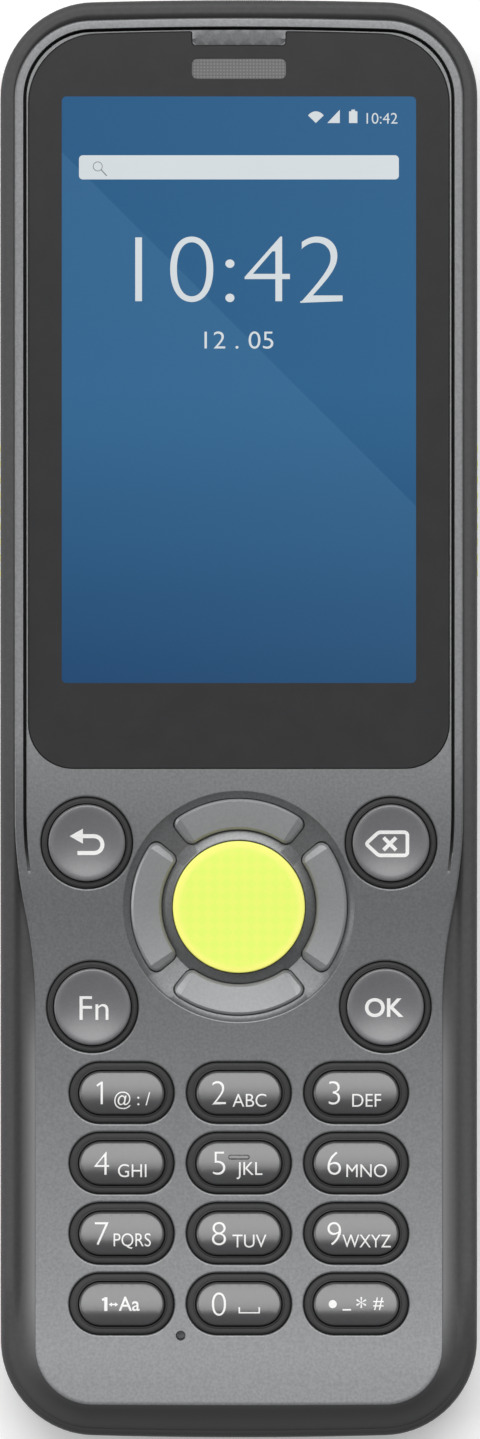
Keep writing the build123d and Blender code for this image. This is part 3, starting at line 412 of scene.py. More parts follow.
def rail_inset(y):
    """Width of the rim and rails; below their ends the strip that goes on narrows."""
    narrowing, length = rail_narrowing
    return rail_width - narrowing * eased(y, rail_end_y, rail_end_y - length)


def between(y, head, grip):
    """A size that changes from the head's to the grip's."""
    return head + (grip - head) * eased(y, *grip_run)


def rim_round(y):
    """Radius of the rounding along the housing's outer edge."""
    return between(y, *rim_rounds)


def groove_floor(x, y):
    """Height of the groove's floor, which runs out evenly at its two ends."""
    run = min(max((y - groove_end[1]) / (groove_end[0] - groove_end[1]), 0), 1)
    return deck(y) - groove_depth * run


def rounded_bar(middle, size, corner, arc=8, run=2):
    (x, y), wide, high = middle, size[0] / 2, size[1] / 2
    return rounded([(x + wide, y - high, corner), (x + wide, y + high, corner),
                    (x - wide, y + high, corner), (x - wide, y - high, corner)], arc, run)


def stadium(place, size, grow=0.0):
    """Outline of a number key or of its collar."""
    long, high = (side + 2 * grow for side in size)
    return rounded_bar(place, (long, high), high / 2, arc=12, run=8)


def circle(place, radius, sides=72):
    x, y = place
    turns = [math.tau * at / sides for at in range(sides)]
    return [Vector((x + radius * math.cos(t), y + radius * math.sin(t))) for t in turns]


def key_outlines(size, radius, grow=0.0):
    """An outline for each number key, then one for each round key."""
    return ([stadium(place, size, grow) for place in number_places.values()]
            + [circle(place, radius + grow) for place in round_places.values()])


def arc_outline(turn, grow=0.0):
    """Outline of an arc key: a rounded bar bent round the scan key."""
    size = (arc_radii[1] - arc_radii[0] + 2 * grow, 2 * (arc_half_angle * arc_middle + grow))
    bend = math.radians(turn)
    return [Vector((radius * math.cos(bend + along / arc_middle),
                    navigation_y + radius * math.sin(bend + along / arc_middle)))
            for radius, along in rounded_bar((arc_middle, 0), size, arc_corner, run=24)]


def lens_line(grow=0.0):
    """Outline of the lens, notched round the tab of the rim."""
    half, notch = lens_half + grow, tab[0] - grow
    shoulder = lens_top - end_crown + grow
    floor = tab[1] - end_crown + grow
    corners = both_sides([(half, lens_bottom - grow, 5.8), (half, shoulder, 8.6),
                          (notch, shoulder, 0.3), (notch, floor, 0.5)])
    return bowed(rounded(corners, run=60), lens_half, lens_half)


front_corners = both_sides([(grip_half, front_bottom + grip_crown, 7.3),
                            (grip_half, waist_y[1], waist_tangent),
                            (head_half, waist_y[0], waist_tangent),
                            (head_half, front_top - end_crown, 9.6)])
front_line = bowed(rounded(front_corners), head_half, grip_half, grip_crown)

bm = bmesh.new()
rim = rim_at(bm, front_line, level(part_z))
rim = roll(bm, rim, 0.0, lambda x, y: rail(y) - rim_round(y))
for step, drop in quarter(3):
    rim = roll(bm, rim, lambda y: step * rim_round(y), lambda x, y: rail(y) - drop * rim_round(y))
rim = roll(bm, rim, lambda y: rail_inset(y) - rim_round(y) - groove_edge, lambda x, y: rail(y))
rim = roll(bm, rim, groove_edge, lambda x, y: rail(y) - 0.1 * (rail(y) - groove_floor(x, y)))
before_groove = len(bm.faces)
rim = roll(bm, rim, groove_wall, groove_floor)
rim = roll(bm, rim, groove_width - 2 * groove_wall, groove_floor)
rim = roll(bm, rim, groove_wall, over(0))
# Painted shade: the groove's faces take the near-black second material.
for face in list(bm.faces)[before_groove:]:
    x, y, z = face.calc_center_median()
    face.material_index = 1 if y > groove_end[1] else 0
openings = []
for outline in key_outlines(collar_size, round_collar, collar_gap + lip_round + lip_border):
    lip = rim_at(bm, outline, over(0))
    openings.append(lip)
    lip = roll(bm, lip, lip_border, over(0))
    for step, drop in ((0.5, 0.14), (0.37, 0.5), (0.13, 1.0)):
        lip = roll(bm, lip, lip_round * step, over(-lip_round * drop))
    roll(bm, lip, 0.0, level(plate_top))
pocket = rim_at(bm, lens_line(lens_gap),
                lambda x, y: deck(y) - tab_dip * (abs(x) < tab[0] and 80 < y < tab[1] + 0.6))
openings.append(pocket)
roll(bm, pocket, 0.0, over(-lens_thickness))
mic_hole = rim_at(bm, circle(mic_place, mic_radius + mic_bevel, 24), over(0))
openings.append(mic_hole)
roll(bm, roll(bm, mic_hole, mic_bevel, over(-mic_bevel)), 0.0, level(plate_top))
openings.append(rim_at(bm, circle((0, navigation_y), trough_rim, trough_sides), over(0)))
close(bm, rim, *openings, spacing=deck_step, height=over(0))

# The trough's section, a closed line of radius and height over the deck.
trough_points = [(trough_rim + 0.05, -0.02), (trough_rim - 0.08, -0.03),
                 (trough_rim - 0.18, -0.1), (trough_rim - 0.26, -0.2), (13.6, -0.55),
                 (10.2, -1.1), (8.75, -0.3), (scan_radius + run_gap, -0.3),
                 (scan_radius + run_gap, -2.6), (trough_rim + 0.05, -2.6)]
ring = bmesh.new()
rims = [rim_at(ring, circle((0, navigation_y), radius, trough_sides), level(z))
        for radius, z in trough_points]
for first, second in zip(rims, rims[1:] + rims[:1]):
    skin(ring, first, second)
cutter = bmesh.new()
for turn in arc_turns.values():
    low = rim_at(cutter, arc_outline(turn, run_gap), level(arc_cut[0]))
    high = roll(cutter, low, 0.0, level(arc_cut[1]))
    close(cutter, low)
    close(cutter, high)


def final_mesh(holder):
    """The mesh of a text, or of an object with its modifiers."""
    return bpy.data.meshes.new_from_object(
        holder.evaluated_get(bpy.context.evaluated_depsgraph_get()))


def carved(target, tool):
    """Cuts one closed mesh out of another and gives back the mesh that is left."""
    for source in (target, tool):
        bmesh.ops.recalc_face_normals(source, faces=source.faces)
    parts = [as_object("carving", source) for source in (target, tool)]
    cut = parts[0].modifiers.new("cut", "BOOLEAN")
    cut.operation = "DIFFERENCE"
    cut.solver = "EXACT"
    cut.object = parts[1]
    shape = final_mesh(parts[0])
    for part in parts:
        bpy.data.objects.remove(part)
    return shape


trough = carved(ring, cutter)
for point in trough.vertices:
    point.co.z += deck(point.co.y)
bm.from_mesh(trough)

# Satin lacquer: mid grey, with a soft metal shine and pale flake, drawn coarser than it is.
case_lacquer = finish("satin_grey_lacquer_with_flake", "#6d6e6f", "#848586", 0.38, size=0.18,
                      bump=0.004, Metallic=0.6)
# Painted shade: the groove's faces are coloured near black for the shade in the narrow, deep
# groove, fading to mid grey towards its two lower ends, where it runs out.
groove_painted_shade, tree, place, shader = new_material("painted_shade_in_groove", Roughness=0.7)
along = add(tree, "SeparateXYZ", {0: place}).outputs["Y"]
groove_runs_out = add(tree, "MapRange", {"Value": along, "From Min": (groove_end[0] + 1) * mm,
                              "From Max": groove_end[1] * mm})
grain = add(tree, "TexNoise", {"Vector": place, "Scale": 1500.0})
dark_tone = add(tree, "Mix", {0: grain, 6: "#121213", 7: "#1b1b1c"}, data_type="RGBA")
tone = add(tree, "Mix", {0: groove_runs_out, 6: dark_tone, 7: "#4a4a4b"}, data_type="RGBA")
feed(shader, {"Base Color": tone})
front = made_piece("front_housing_moulding", bm, "case", "light_grey_moulding", case_lacquer,
                   groove_painted_shade)
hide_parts("front_housing")


# ---- Bumper ----
# Soft rubber moulded over the edge of the case: a bead round the outside, a shallow cove
# beside the slimmer grip, and openings for the side keys, the scan window and the port.
half_width = 30.5
case_end = 92.0
bumper_low = 6.0
bumper_drops = (0.4, 0.06)  # under the rails, and along the grip
bead_round = 0.9
bead_flat = 1.6
cove_bottom = 2.7
cove_depth = 0.75
cove_back = (0.45, 2.0)  # share of its depth that it comes back up, over so many mm
end_fall = 3.0  # the lower end falls away outwards by this much
end_fall_y = (-71.0, -86.0)
# Painted shading: grey fading to black over the cove, for the housing's edge turning from the
# light.
painted_shading_x = (27.9, 26.1)
painted_shading_y = [(-31.0, -46.0), (-85.0, -72.0)]
painted_shading_falloff = 1.4  # over 1, the painted grey fades faster near the housing
painted_shade_end_y = (-76.0, -89.0)  # the lower end is painted a shade darker, as painted shade for its face turned from the light
side_key_z = 12.3
side_keys = [(-1, 26.75, 19.1), (1, 26.75, 19.1), (1, 50.0, 8.0)]
side_key_height = 4.2
side_key_corner = 1.4
side_cut = (24.0, 32.0)  # the openings are cut from inside the band to outside it
window_half = 12.5
window_z = (7.0, 13.4)
window_gap = 0.1
window_corner = 0.6
usb_size = (8.94, 3.2)
usb_z = 9.7
usb_gap = 0.15
usb_corner = 1.7
end_cut = (80.0, 94.0)

case_line = bowed(rounded(both_sides([
    (half_width, end_crown - case_end, 11.7), (half_width, waist_y[1], waist_tangent),
    (half_width, waist_y[0], waist_tangent), (half_width, case_end - end_crown, 11.7)])),
    half_width, half_width)


def cove(depth_in):
    """How far the band dips at a distance in from the outside."""
    share, length = cove_back
    rise = max(depth_in - cove_bottom, 0) / length
    return cove_depth * (eased(depth_in, bead_flat, cove_bottom) - share * rise * rise)


def ending(y):
    """From 0 along the grip to 1 at the lower end."""
    return eased(y, *end_fall_y)


def bumper_drop(y):
    """How far the band lies under the housing's edge."""
    return between(y, *bumper_drops)


def fallen(y, part_in):
    """How far the lower end's face falls, from its inner edge to the outside."""
    return end_fall * ending(y) * (1 - part_in)**1.5


bm = bmesh.new()
low = rim_at(bm, case_line, level(bumper_low))
rim = roll(bm, low, 0.0, lambda x, y: rail(y) - bumper_drop(y) - bead_round - fallen(y, 0))
for step, drop in quarter(4):
    rim = roll(bm, rim, bead_round * step,
               lambda x, y: rail(y) - bumper_drop(y) - bead_round * drop - fallen(y, 0))
inner_line = [point.co.xy for point in rim]
across = 10
for at in range(1, across + 1):
    spots = [a.lerp(b, at / across) for a, b in zip(inner_line, front_line)]
    widths = [(b - a).length * at / across + bead_round for a, b in zip(inner_line, front_line)]
    next_rim = [bm.verts.new((spot.x, spot.y, rail(spot.y) - bumper_drop(spot.y) - cove(width)
                              * (1 - ending(spot.y)) - fallen(spot.y, at / across)))
                for spot, width in zip(spots, widths)]
    rim = skin(bm, rim, next_rim)
inside = roll(bm, rim, 0.0, level(bumper_low))
skin(bm, inside, low)
cutter = bmesh.new()


def bar_through(bm, outline, way, start, end):
    """A bar with the given outline (across, up) from start to end along X or Y."""
    rims = []
    for reach in (start, end):
        spots = [(reach, across, up) if way == "X" else (across, reach, up)
                 for across, up in outline]
        rims.append([bm.verts.new(spot) for spot in spots])
    skin(bm, *rims)
    for rim in rims:
        bm.faces.new(rim)


for side, y, length in side_keys:
    hole = rounded_bar((y, side_key_z), (length + 2 * run_gap, side_key_height + 2 * run_gap),
                       side_key_corner + run_gap)
    bar_through(cutter, hole, "X", *(side * reach for reach in side_cut))
hole = rounded_bar((0, usb_z), [length + 2 * usb_gap for length in usb_size], usb_corner)
bar_through(cutter, hole, "Y", *(-reach for reach in end_cut))
window_size = (2 * (window_half + window_gap), window_z[1] - window_z[0] + 2 * window_gap)
hole = rounded_bar((0, sum(window_z) / 2), window_size, window_corner)
bar_through(cutter, hole, "Y", *end_cut)
shape = carved(bm, cutter)
bm = bmesh.new()
bm.from_mesh(shape)
# Soft-touch rubber: charcoal, dull and slightly mottled, with hardly any shine.
bumper_rubber = finish("soft_touch_rubber_overmould", "#3d3d3e", "#4a4a4b", 0.62, size=0.3,
                       amount=0.4, bump=0.006)
# Painted shading beside the grip: the cove is painted the housing's grey, fading to black, for
# the housing's edge rolling away from the light, so the seam doesn't show there.
tree = bumper_rubber.node_tree
place = add(tree, "SeparateXYZ", {0: add(tree, "TexCoord").outputs["Object"]}).outputs
side = add(tree, "Math", {0: place["X"]}, operation="ABSOLUTE")
nearness = add(tree, "MapRange", {"Value": side, "From Min": painted_shading_x[0] * mm,
                                  "From Max": painted_shading_x[1] * mm})
painted_shading = add(tree, "Math", {0: nearness, 1: painted_shading_falloff}, operation="POWER")
*ends, end_shade = [add(tree, "MapRange", {"Value": place["Y"], "From Min": start * mm,
                                         "From Max": end * mm}, interpolation_type="SMOOTHSTEP")
                  for start, end in (*painted_shading_y, painted_shade_end_y)]
for reach in ends:
    painted_shading = add(tree, "Math", {0: painted_shading, 1: reach}, operation="MULTIPLY")
shader = tree.nodes["Principled BSDF"]
dark_tone = shader.inputs["Base Color"].links[0].from_socket
# Painted shade: the lower end is coloured darker for its face turned away from the light.
end_shaded_tone = add(tree, "Mix", {0: end_shade, 6: dark_tone, 7: "#303031"}, data_type="RGBA")
shaded_cove_tone = add(tree, "Mix", {0: painted_shading, 6: end_shaded_tone, 7: "#868687"}, data_type="RGBA")
feed(shader, {"Base Color": shaded_cove_tone})
band = made_piece("bumper_band", bm, "case", "bumper_rubber", bumper_rubber)
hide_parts("bumper")


# ---- Lens and lit display ----
# A sheet of hardened glass, printed dark on its underside round a clear window, notched for
# the tab of the rim and slotted for the earpiece. The lit panel shows through the window.
screen_half = 22.65
screen_y = (4.65, 79.65)
screen_corner = 0.6
slot_size = (12.1, 2.65)
slot_middle = (0.0, 83.225)
slot_corner = 0.75
glass_edge = 0.12
bm = bmesh.new()
low = rim_at(bm, lens_line(), level(deck_top - lens_thickness))
rim = roll(bm, low, 0.0, level(deck_top - glass_edge))
rim = roll(bm, rim, glass_edge, level(deck_top))
slot_low = rim_at(bm, rounded_bar(slot_middle, slot_size, slot_corner),
                  level(deck_top - lens_thickness))
slot_rim = roll(bm, slot_low, 0.0, level(deck_top))
screen_size = (2 * screen_half, screen_y[1] - screen_y[0])
screen = rim_at(bm, rounded_bar((0, sum(screen_y) / 2), screen_size, screen_corner),
                level(deck_top))
close(bm, rim, slot_rim, screen)
for face in close(bm, screen):
    face.material_index = 1
close(bm, low, slot_low)

# Black print under treated glass, coloured an even charcoal as painted reflection of the pale
# room; smooth, with the glass's own reflection kept weak.
lens_print_with_painted_reflection = finish("black_print_under_glass_with_painted_reflection", "#353536", "#3a3a3b", 0.12, size=2.0, bump=0.0005,
                    Specular_IOR_Level=0.2)
# The panel gives its own light: soft slanting bands of blue, lighter at mid height.
lit_panel, tree, place, shader = new_material(
    "lit_display_panel", Base_Color="#050607", Roughness=0.1, Specular_IOR_Level=0.2,
    Emission_Strength=0.95)
along = add(tree, "SeparateXYZ", {0: place}).outputs["Y"]
climb = add(tree, "MapRange", {"Value": along, "From Min": screen_y[0] * mm,
                               "From Max": screen_y[1] * mm})
sky = add(tree, "ValToRGB", {"Fac": climb})
sky.color_ramp.elements[0].color = linear("#224a73")
sky.color_ramp.elements[1].color = linear("#285c88")
sky.color_ramp.elements.new(0.5).color = linear("#2f648f")
fold = add(tree, "TexWave", {"Vector": place, "Scale": 9.0}, bands_direction="DIAGONAL",
           wave_profile="SAW")
glow = add(tree, "MapRange", {"Value": fold.outputs["Fac"], "To Max": 0.09})
sheen = add(tree, "Mix", {0: glow, 6: sky, 7: "#6fa8d0"}, data_type="RGBA")
feed(shader, {"Emission Color": sheen})
lens = made_piece("lens_sheet", bm, "case", "lens_glass", lens_print_with_painted_reflection, lit_panel)
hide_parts("display_lens")


# ---- Home screen ----
# What the lit panel shows: a search bar, signal and battery signs, a clock and a date in
# plain figures. Each is a thin film of light just over the glass.
ink_rise = 0.012
ink_step = 0.35
bar_size = (40.9, 3.09)
bar_middle = (0.0, 70.585)
bar_corner = 0.5
sign_low = 76.25
fan_x = 9.84
uncut = 400.0  # longer than any print, so that flat print isn't cut across
clock_place = (0.0, 57.5)
date_place = (0.0, 48.5)


def lettering(bm, words, middle, size, weight=0.0, squeeze=1.0, smoothness=8):
    """Flat letters of the built-in font, centred on a place, added to a mesh."""
    text = bpy.data.curves.new("letters", "FONT")
    text.body = words
    text.size = size
    text.offset = weight
    text.resolution_u = smoothness
    holder = bpy.data.objects.new("letters", text)
    scene.collection.objects.link(holder)
    shape = final_mesh(holder)
    bpy.data.objects.remove(holder)
    xs = [point.co.x * squeeze for point in shape.vertices]
    ys = [point.co.y for point in shape.vertices]
    shift = Vector((middle[0] - (min(xs) + max(xs)) / 2, middle[1] - (min(ys) + max(ys)) / 2, 0))
    shape.transform(Matrix.Diagonal((squeeze, 1, 1, 1)))
    shape.transform(Matrix.Translation(shift))
    bm.from_mesh(shape)


def patch(bm, points):
    """A flat face with its corners at points."""
    bm.faces.new([bm.verts.new((*spot, 0)) for spot in points])


def strip(bm, points, width, looped=False):
    """A flat line of even width through points."""
    spots = [Vector(point) for point in points]
    ends = zip([spots[-1] if looped else spots[0]] + spots, spots,
               spots[1:] + [spots[0] if looped else spots[-1]])
    left, right = [], []
    for before, spot, after in ends:
        first, second = (spot - before), (after - spot)
        along = (first.normalized() + second.normalized()).normalized()
        side = Vector((-along.y, along.x)) * width / 2
        left.append(bm.verts.new((*(spot + side), 0)))
        right.append(bm.verts.new((*(spot - side), 0)))
    count = len(spots) if looped else len(spots) - 1
    for at in range(count):
        after = (at + 1) % len(spots)
        bm.faces.new((right[at], right[after], left[after], left[at]))


def lay(bm, surface, step=ink_step, middle=(0, 0)):
    """Lays flat print on a surface, just over it, cut across into narrow strips to follow it.
    The print was drawn about (0, 0), which goes to the middle."""
    bmesh.ops.translate(bm, vec=(*middle, 0), verts=bm.verts)
    ys = [point.co.y for point in bm.verts]
    for at in range(1, math.ceil((max(ys) - min(ys)) / step)):
        bmesh.ops.bisect_plane(bm, geom=bm.verts[:] + bm.edges[:] + bm.faces[:], dist=merge_reach,
                               plane_co=(0, min(ys) + at * step, 0), plane_no=(0, 1, 0))
    for point in bm.verts:
        point.co.z = surface(point.co.x, point.co.y) + ink_rise


# Lit letters and signs: a pale bluish white that glows evenly.
screen_light, tree, place, shader = new_material(
    "pale_display_light", Base_Color="#050607", Roughness=0.2, Specular_IOR_Level=0.2,
    Emission_Strength=0.97)
grain = add(tree, "TexNoise", {"Vector": place, "Scale": 60.0})
tint = add(tree, "Mix", {0: grain, 6: "#d0d8dc", 7: "#dae0e3"}, data_type="RGBA")
feed(shader, {"Emission Color": tint})
bm = bmesh.new()
patch(bm, rounded_bar(bar_middle, bar_size, bar_corner))
# The signs are a fan, a wedge and a battery, which stand on one line.
patch(bm, [(fan_x, sign_low)] + [
    (fan_x + 1.35 * math.cos(t), sign_low - 0.1 + 1.6 * math.sin(t))
    for t in (math.radians(42 + 12 * step) for step in range(9))])
patch(bm, [(11.3, sign_low), (12.9, sign_low), (12.9, sign_low + 1.7)])
patch(bm, [(14.08, sign_low), (15.15, sign_low), (15.15, sign_low + 1.5),
           (14.85, sign_low + 1.5), (14.85, sign_low + 1.72), (14.38, sign_low + 1.72),
           (14.38, sign_low + 1.5), (14.08, sign_low + 1.5)])
lettering(bm, "10:42", (18.3, sign_low + 0.6), 2.0, -0.01)
lettering(bm, "10:42", clock_place, 12.6, -0.22, 1.08, smoothness=12)
lettering(bm, "12 . 05", date_place, 3.2, -0.02, 1.1)
lay(bm, level(deck_top), uncut)
made_piece("home_screen_film", bm, "case", "display_panel", screen_light, weighted=False)
# The glass of the search bar: thin mid grey lines on the pale bar.
search_grey = finish("grey_search_sign", "#6f7477", "#7c8184", 0.4, size=0.3)
bm = bmesh.new()
strip(bm, circle((-18.05, 70.7), 0.58, 28), 0.1, looped=True)
strip(bm, [(-17.63, 70.28), (-16.9, 69.5)], 0.14)
lay(bm, level(deck_top + ink_rise), uncut)
made_piece("search_sign_film", bm, "case", "display_panel", search_grey, weighted=False)


# ---- Keypad plate and collars ----
# One dark moulding under the deck; a raised collar stands up round each number key and each
# round key, with a small bright lip at its inner edge where the cap runs.
plate_half = 25.25
plate_y = (-79.75, -9.4)
plate_low = 14.7
collar_rise = 0.3
collar_round = 0.3
collar_lean = 0.1  # its outer edge lies under its top by this much
# The lip's section: how far from the rounding to the hole, and how far under the top.
collar_lip = [(0.5, 0.12), (0.62, 0.12), (0.74, 0.02), (0.9, 0.0), (1.0, 0.08)]
foot_overhang = 0.45
bm = bmesh.new()
plate = [Vector(spot) for spot in ((-plate_half, plate_y[0]), (plate_half, plate_y[0]),
                                   (plate_half, plate_y[1]), (-plate_half, plate_y[1]))]
plate_top_rim = rim_at(bm, plate, level(plate_top))
plate_low_rim = rim_at(bm, plate, level(plate_low))
skin(bm, plate_top_rim, plate_low_rim)
top_holes, low_holes = [], []
for outer, inner in zip(key_outlines(collar_size, round_collar),
                        key_outlines(number_size, round_cap, run_gap)):
    rim = rim_at(bm, outer, level(plate_top))
    top_holes.append(rim)
    for step, drop in ((0.0, 1.0), (0.13, 0.5), (0.37, 0.13), (0.5, 0.0)):
        rim = roll(bm, rim, collar_round * step,
                   over(collar_rise - collar_round * drop - collar_lean))
    hole = rim_at(bm, inner, level(plate_low))
    low_holes.append(hole)
    line = [point.co.xy for point in hole]
    edge = [point.co.xy for point in rim]
    for part, drop in collar_lip:
        spots = [a.lerp(b, part) for a, b in zip(edge, line)]
        rim = skin(bm, rim, rim_at(bm, spots, over(collar_rise - drop)))
    skin(bm, rim, hole)
for outline in [arc_outline(turn, foot_overhang) for turn in arc_turns.values()] + [
        circle((0, navigation_y), scan_radius + run_gap), circle(mic_place, mic_radius, 24)]:
    top_holes.append(rim_at(bm, outline, level(plate_top)))
    low_holes.append(rim_at(bm, outline, level(plate_low)))
    skin(bm, top_holes[-1], low_holes[-1])
close(bm, plate_top_rim, *top_holes)
close(bm, plate_low_rim, *low_holes)
# Moulded ABS, left bare: almost black, with a soft satin shine on its rounded lips.
collar_black = finish("satin_black_collar_moulding", "#2d2d2e", "#343435", 0.55, size=0.25,
                      bump=0.002, Specular_IOR_Level=0.35)
collars = made_piece("keypad_plate_with_collars", bm, "case", "collar_plastic", collar_black)
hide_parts("keypad_bezel")


# ---- Number keys ----
# Stadium caps with a crowned glossy top, printed in white and hard coated. The 5 key has the
# nib that a fingertip finds. Each cap goes down through its collar to a foot on the sheet.
key_rise = 0.45
cap_crown = 0.6
cap_ridge = 0.95
cap_round = 0.3
key_low = 14.0
foot_top = 14.6
foot_grow = 0.55
foot_corner = 0.3
cap_net = 0.45  # spacing of the points in a cap's top
digit_size = 4.47
digit_weight = -0.08
letter_size = 2.42
letter_weight = -0.008
letter_squeeze = {3: 0.95, 4: 0.86, 5: 0.95}  # by how many signs a legend has
digit_x = -2.55
right_nudge = -0.25  # of the digits in the right column
letters_x = 1.35
letters_drop = 0.95
nib_size = (2.7, 0.55)
nib_rise = 0.3
nib_edge = 0.1
nib_up = 0.8  # it lies this far above the middle of its key
legends = {"key_1": ("1", "@ : /"), "key_2": ("2", "ABC"), "key_3": ("3", "DEF"),
           "key_4": ("4", "GHI"), "key_5": ("5", "JKL"), "key_6": ("6", "MNO"),
           "key_7": ("7", "PQRS"), "key_8": ("8", "TUV"), "key_9": ("9", "WXYZ"),
           "key_0": ("0", "")}


def cap_top(place):
    """Height function of a crowned cap, highest a little below its middle."""
    ridge = place[1] - cap_ridge

    def height(x, y):
        reach = number_size[1] / 2 + (cap_ridge if y > ridge else -cap_ridge)
        return deck(y) + key_rise + cap_crown * (1 - ((y - ridge) / reach)**2)
    return height


def lowered(surface, drop):
    return lambda x, y: surface(x, y) - drop


def smooth_rim(bm, rim, surface, radius, steps=4):
    """Rounds a cap over from its wall onto its top surface."""
    for step, drop in quarter(steps):
        rim = roll(bm, rim, radius * step, lowered(surface, radius * drop))
    return rim


def footed(bm, outline, foot):
    """The hidden part of a key: a foot, and the wall up to the cap. Gives the wall's rim."""
    low = rim_at(bm, foot, level(key_low))
    step = roll(bm, low, 0.0, level(foot_top))
    wall = rim_at(bm, outline, level(foot_top))
    close(bm, low)
    close(bm, step, wall)
    return wall


# Hard coat over black: smooth, with a clear bright reflection that makes it look dark grey.
number_gloss = finish("hard_coated_black_key_cap", "#444445", "#4e4e4f", 0.3, size=0.3,
                      amount=0.3, bump=0.0004, Specular_IOR_Level=0.9)
# Pad-printed ink: opaque, a slightly uneven white.
white_ink = finish("white_printed_ink", "#f2f2f0", "#dcdcda", 0.4, size=0.15, amount=0.4,
                   bump=0.002)
for name, place in number_places.items():
    top = cap_top(place)
    bm = bmesh.new()
    foot = rounded_bar(place, [size + 2 * foot_grow for size in number_size], foot_corner)
    rim = footed(bm, stadium(place, number_size), foot)
    rim = roll(bm, rim, 0.0, lowered(top, cap_round))
    rim = smooth_rim(bm, rim, top, cap_round)
    close(bm, rim, spacing=cap_net, height=top)
    if name == "key_5":
        edge = rim_at(bm, stadium((place[0], place[1] + nib_up), nib_size), lowered(top, nib_edge))
        edge = roll(bm, edge, 0.0, lowered(top, -nib_rise * 0.6))
        close(bm, roll(bm, edge, nib_edge, lowered(top, -nib_rise)))
    cap = made_piece(name + "_cap", bm, name, "number_key_plastic", number_gloss)
    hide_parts(name)
    bm = bmesh.new()
    if name in legends:
        digit, letters = legends[name]
        nudge = right_nudge if place[0] > 0 else 0.0
        lettering(bm, digit, (digit_x + nudge, 0), digit_size, digit_weight)
        if digit == "1":
            strip(bm, [(digit_x - 0.62, 0.9), (digit_x, 1.38)], 0.24)
        if letters:
            lettering(bm, letters, (letters_x, -letters_drop), letter_size, letter_weight,
                      letter_squeeze[len(letters)])
        else:
            strip(bm, [(0.05, -0.4), (0.05, -1.1), (2.6, -1.1), (2.6, -0.4)], 0.22)
    elif name == "key_case":
        strip(bm, [(-2.02, -0.87), (-2.02, 0.87)], 0.4)
        strip(bm, [(-2.22, 0.66), (-2.5, 0.52)], 0.3)
        strip(bm, [(-1.4, -0.05), (-0.7, -0.05)], 0.2)
        for side in (-1, 1):
            patch(bm, [(-1.05 + side * 0.6, -0.05), (-1.05 + side * 0.2, 0.23),
                       (-1.05 + side * 0.2, -0.33)])
        lettering(bm, "Aa", (0.97, 0.04), 2.57, 0.02, 0.95)
    else:
        patch(bm, circle((-3.0, 0), 0.52, 24))
        strip(bm, [(-1.75, -0.72), (-0.65, -0.72)], 0.2)
        lettering(bm, "*", (0.65, 0.2), 3.2)
        lettering(bm, "#", (2.85, 0.05), 2.3)
    lay(bm, top, middle=place)
    made_piece(name + "_legend", bm, name, "number_key_plastic", white_ink, weighted=False)


# ---- Round keys ----
# Four moulded caps with a dished top for the fingertip: back, delete, function and OK.
dish = 0.55
dish_edge = 0.45
dish_rings = (8, 0.5)  # how many, and how wide each is
dish_net = 0.3
foot_sides = 8
# Satin coat over black: its soft broad reflection makes the dish look a lighter grey.
round_satin = finish("satin_black_dished_cap", "#656567", "#6e6e70", 0.36, size=0.2, bump=0.001,
                     Specular_IOR_Level=0.9)


def dished(place):
    """Height function of a dished cap."""
    reach = round_cap - dish_edge

    def height(x, y):
        out = min(math.hypot(x - place[0], y - place[1]) / reach, 1)
        return deck(y) + key_rise - dish * (1 - out * out)
    return height


for name, place in round_places.items():
    top = dished(place)
    bm = bmesh.new()
    rim = footed(bm, circle(place, round_cap), circle(place, round_cap + foot_grow, foot_sides))
    rim = roll(bm, rim, 0.0, lowered(top, cap_round))
    rim = smooth_rim(bm, rim, top, cap_round)
    for at in range(dish_rings[0]):
        rim = roll(bm, rim, dish_rings[1], top)
    close(bm, rim, spacing=dish_net, height=top)
    cap = made_piece(name + "_cap", bm, name, "round_key_plastic", round_satin)
    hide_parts(name)
    bm = bmesh.new()
    if name == "key_back":
        bend = [(0.92 + 1.08 * math.cos(t), -0.22 + 1.08 * math.sin(t))
                for t in (math.radians(90 - 18 * step) for step in range(11))]
        strip(bm, [(-0.6, 0.86), *bend, (-1.2, -1.3)], 0.52)
        patch(bm, [(-2.2, 0.86), (-0.5, -0.1), (-0.5, 1.82)])
    elif name == "key_delete":
        strip(bm, rounded([(2.1, -1.6, 0.4), (2.1, 1.36, 0.4), (-1.6, 1.36, 0.3),
                           (-3.2, -0.12, 0.3), (-1.6, -1.6, 0.3)], arc=4), 0.46, looped=True)
        for side in (-1, 1):
            strip(bm, [(-0.95, -0.12 - side * 0.8), (0.65, -0.12 + side * 0.8)], 0.48)
    elif name == "key_fn":
        lettering(bm, "Fn", (0.2, -0.15), 4.5, -0.02)
    else:
        lettering(bm, "OK", (-0.15, -0.1), 3.3, 0.06)
    lay(bm, top, middle=place)
    made_piece(name + "_legend", bm, name, "round_key_plastic", white_ink, weighted=False)


# ---- Arc keys and scan key ----
# Four grey arc keys lie in the trough round the big lime scan key. Their faces lean in
# towards it, and each end falls away in a small facet.
arc_rise = (-0.15, 0.15)
arc_round = 0.35
facet = 1.1
facet_drop = 0.4
arc_net = 0.5
# Lacquered like the case but lighter: satin grey with a soft metal shine.
arc_satin = finish("satin_grey_key_moulding", "#949596", "#a4a5a6", 0.38, size=0.18, amount=0.4,
                   bump=0.002, Metallic=0.5)


def arc_top(turn):
    """Height function of an arc key, with a facet at each end."""
    bend = math.radians(turn)

    def height(x, y):
        radius = math.hypot(x, y - navigation_y)
        off = math.remainder(math.atan2(y - navigation_y, x) - bend, math.tau)
        along = abs(off) * arc_middle
        lean = (radius - arc_radii[0]) / (arc_radii[1] - arc_radii[0])
        rise = arc_rise[0] + (arc_rise[1] - arc_rise[0]) * lean
        fall = max(along - (arc_half_angle * arc_middle - facet), 0) / facet
        return deck(y) + rise - facet_drop * fall
    return height


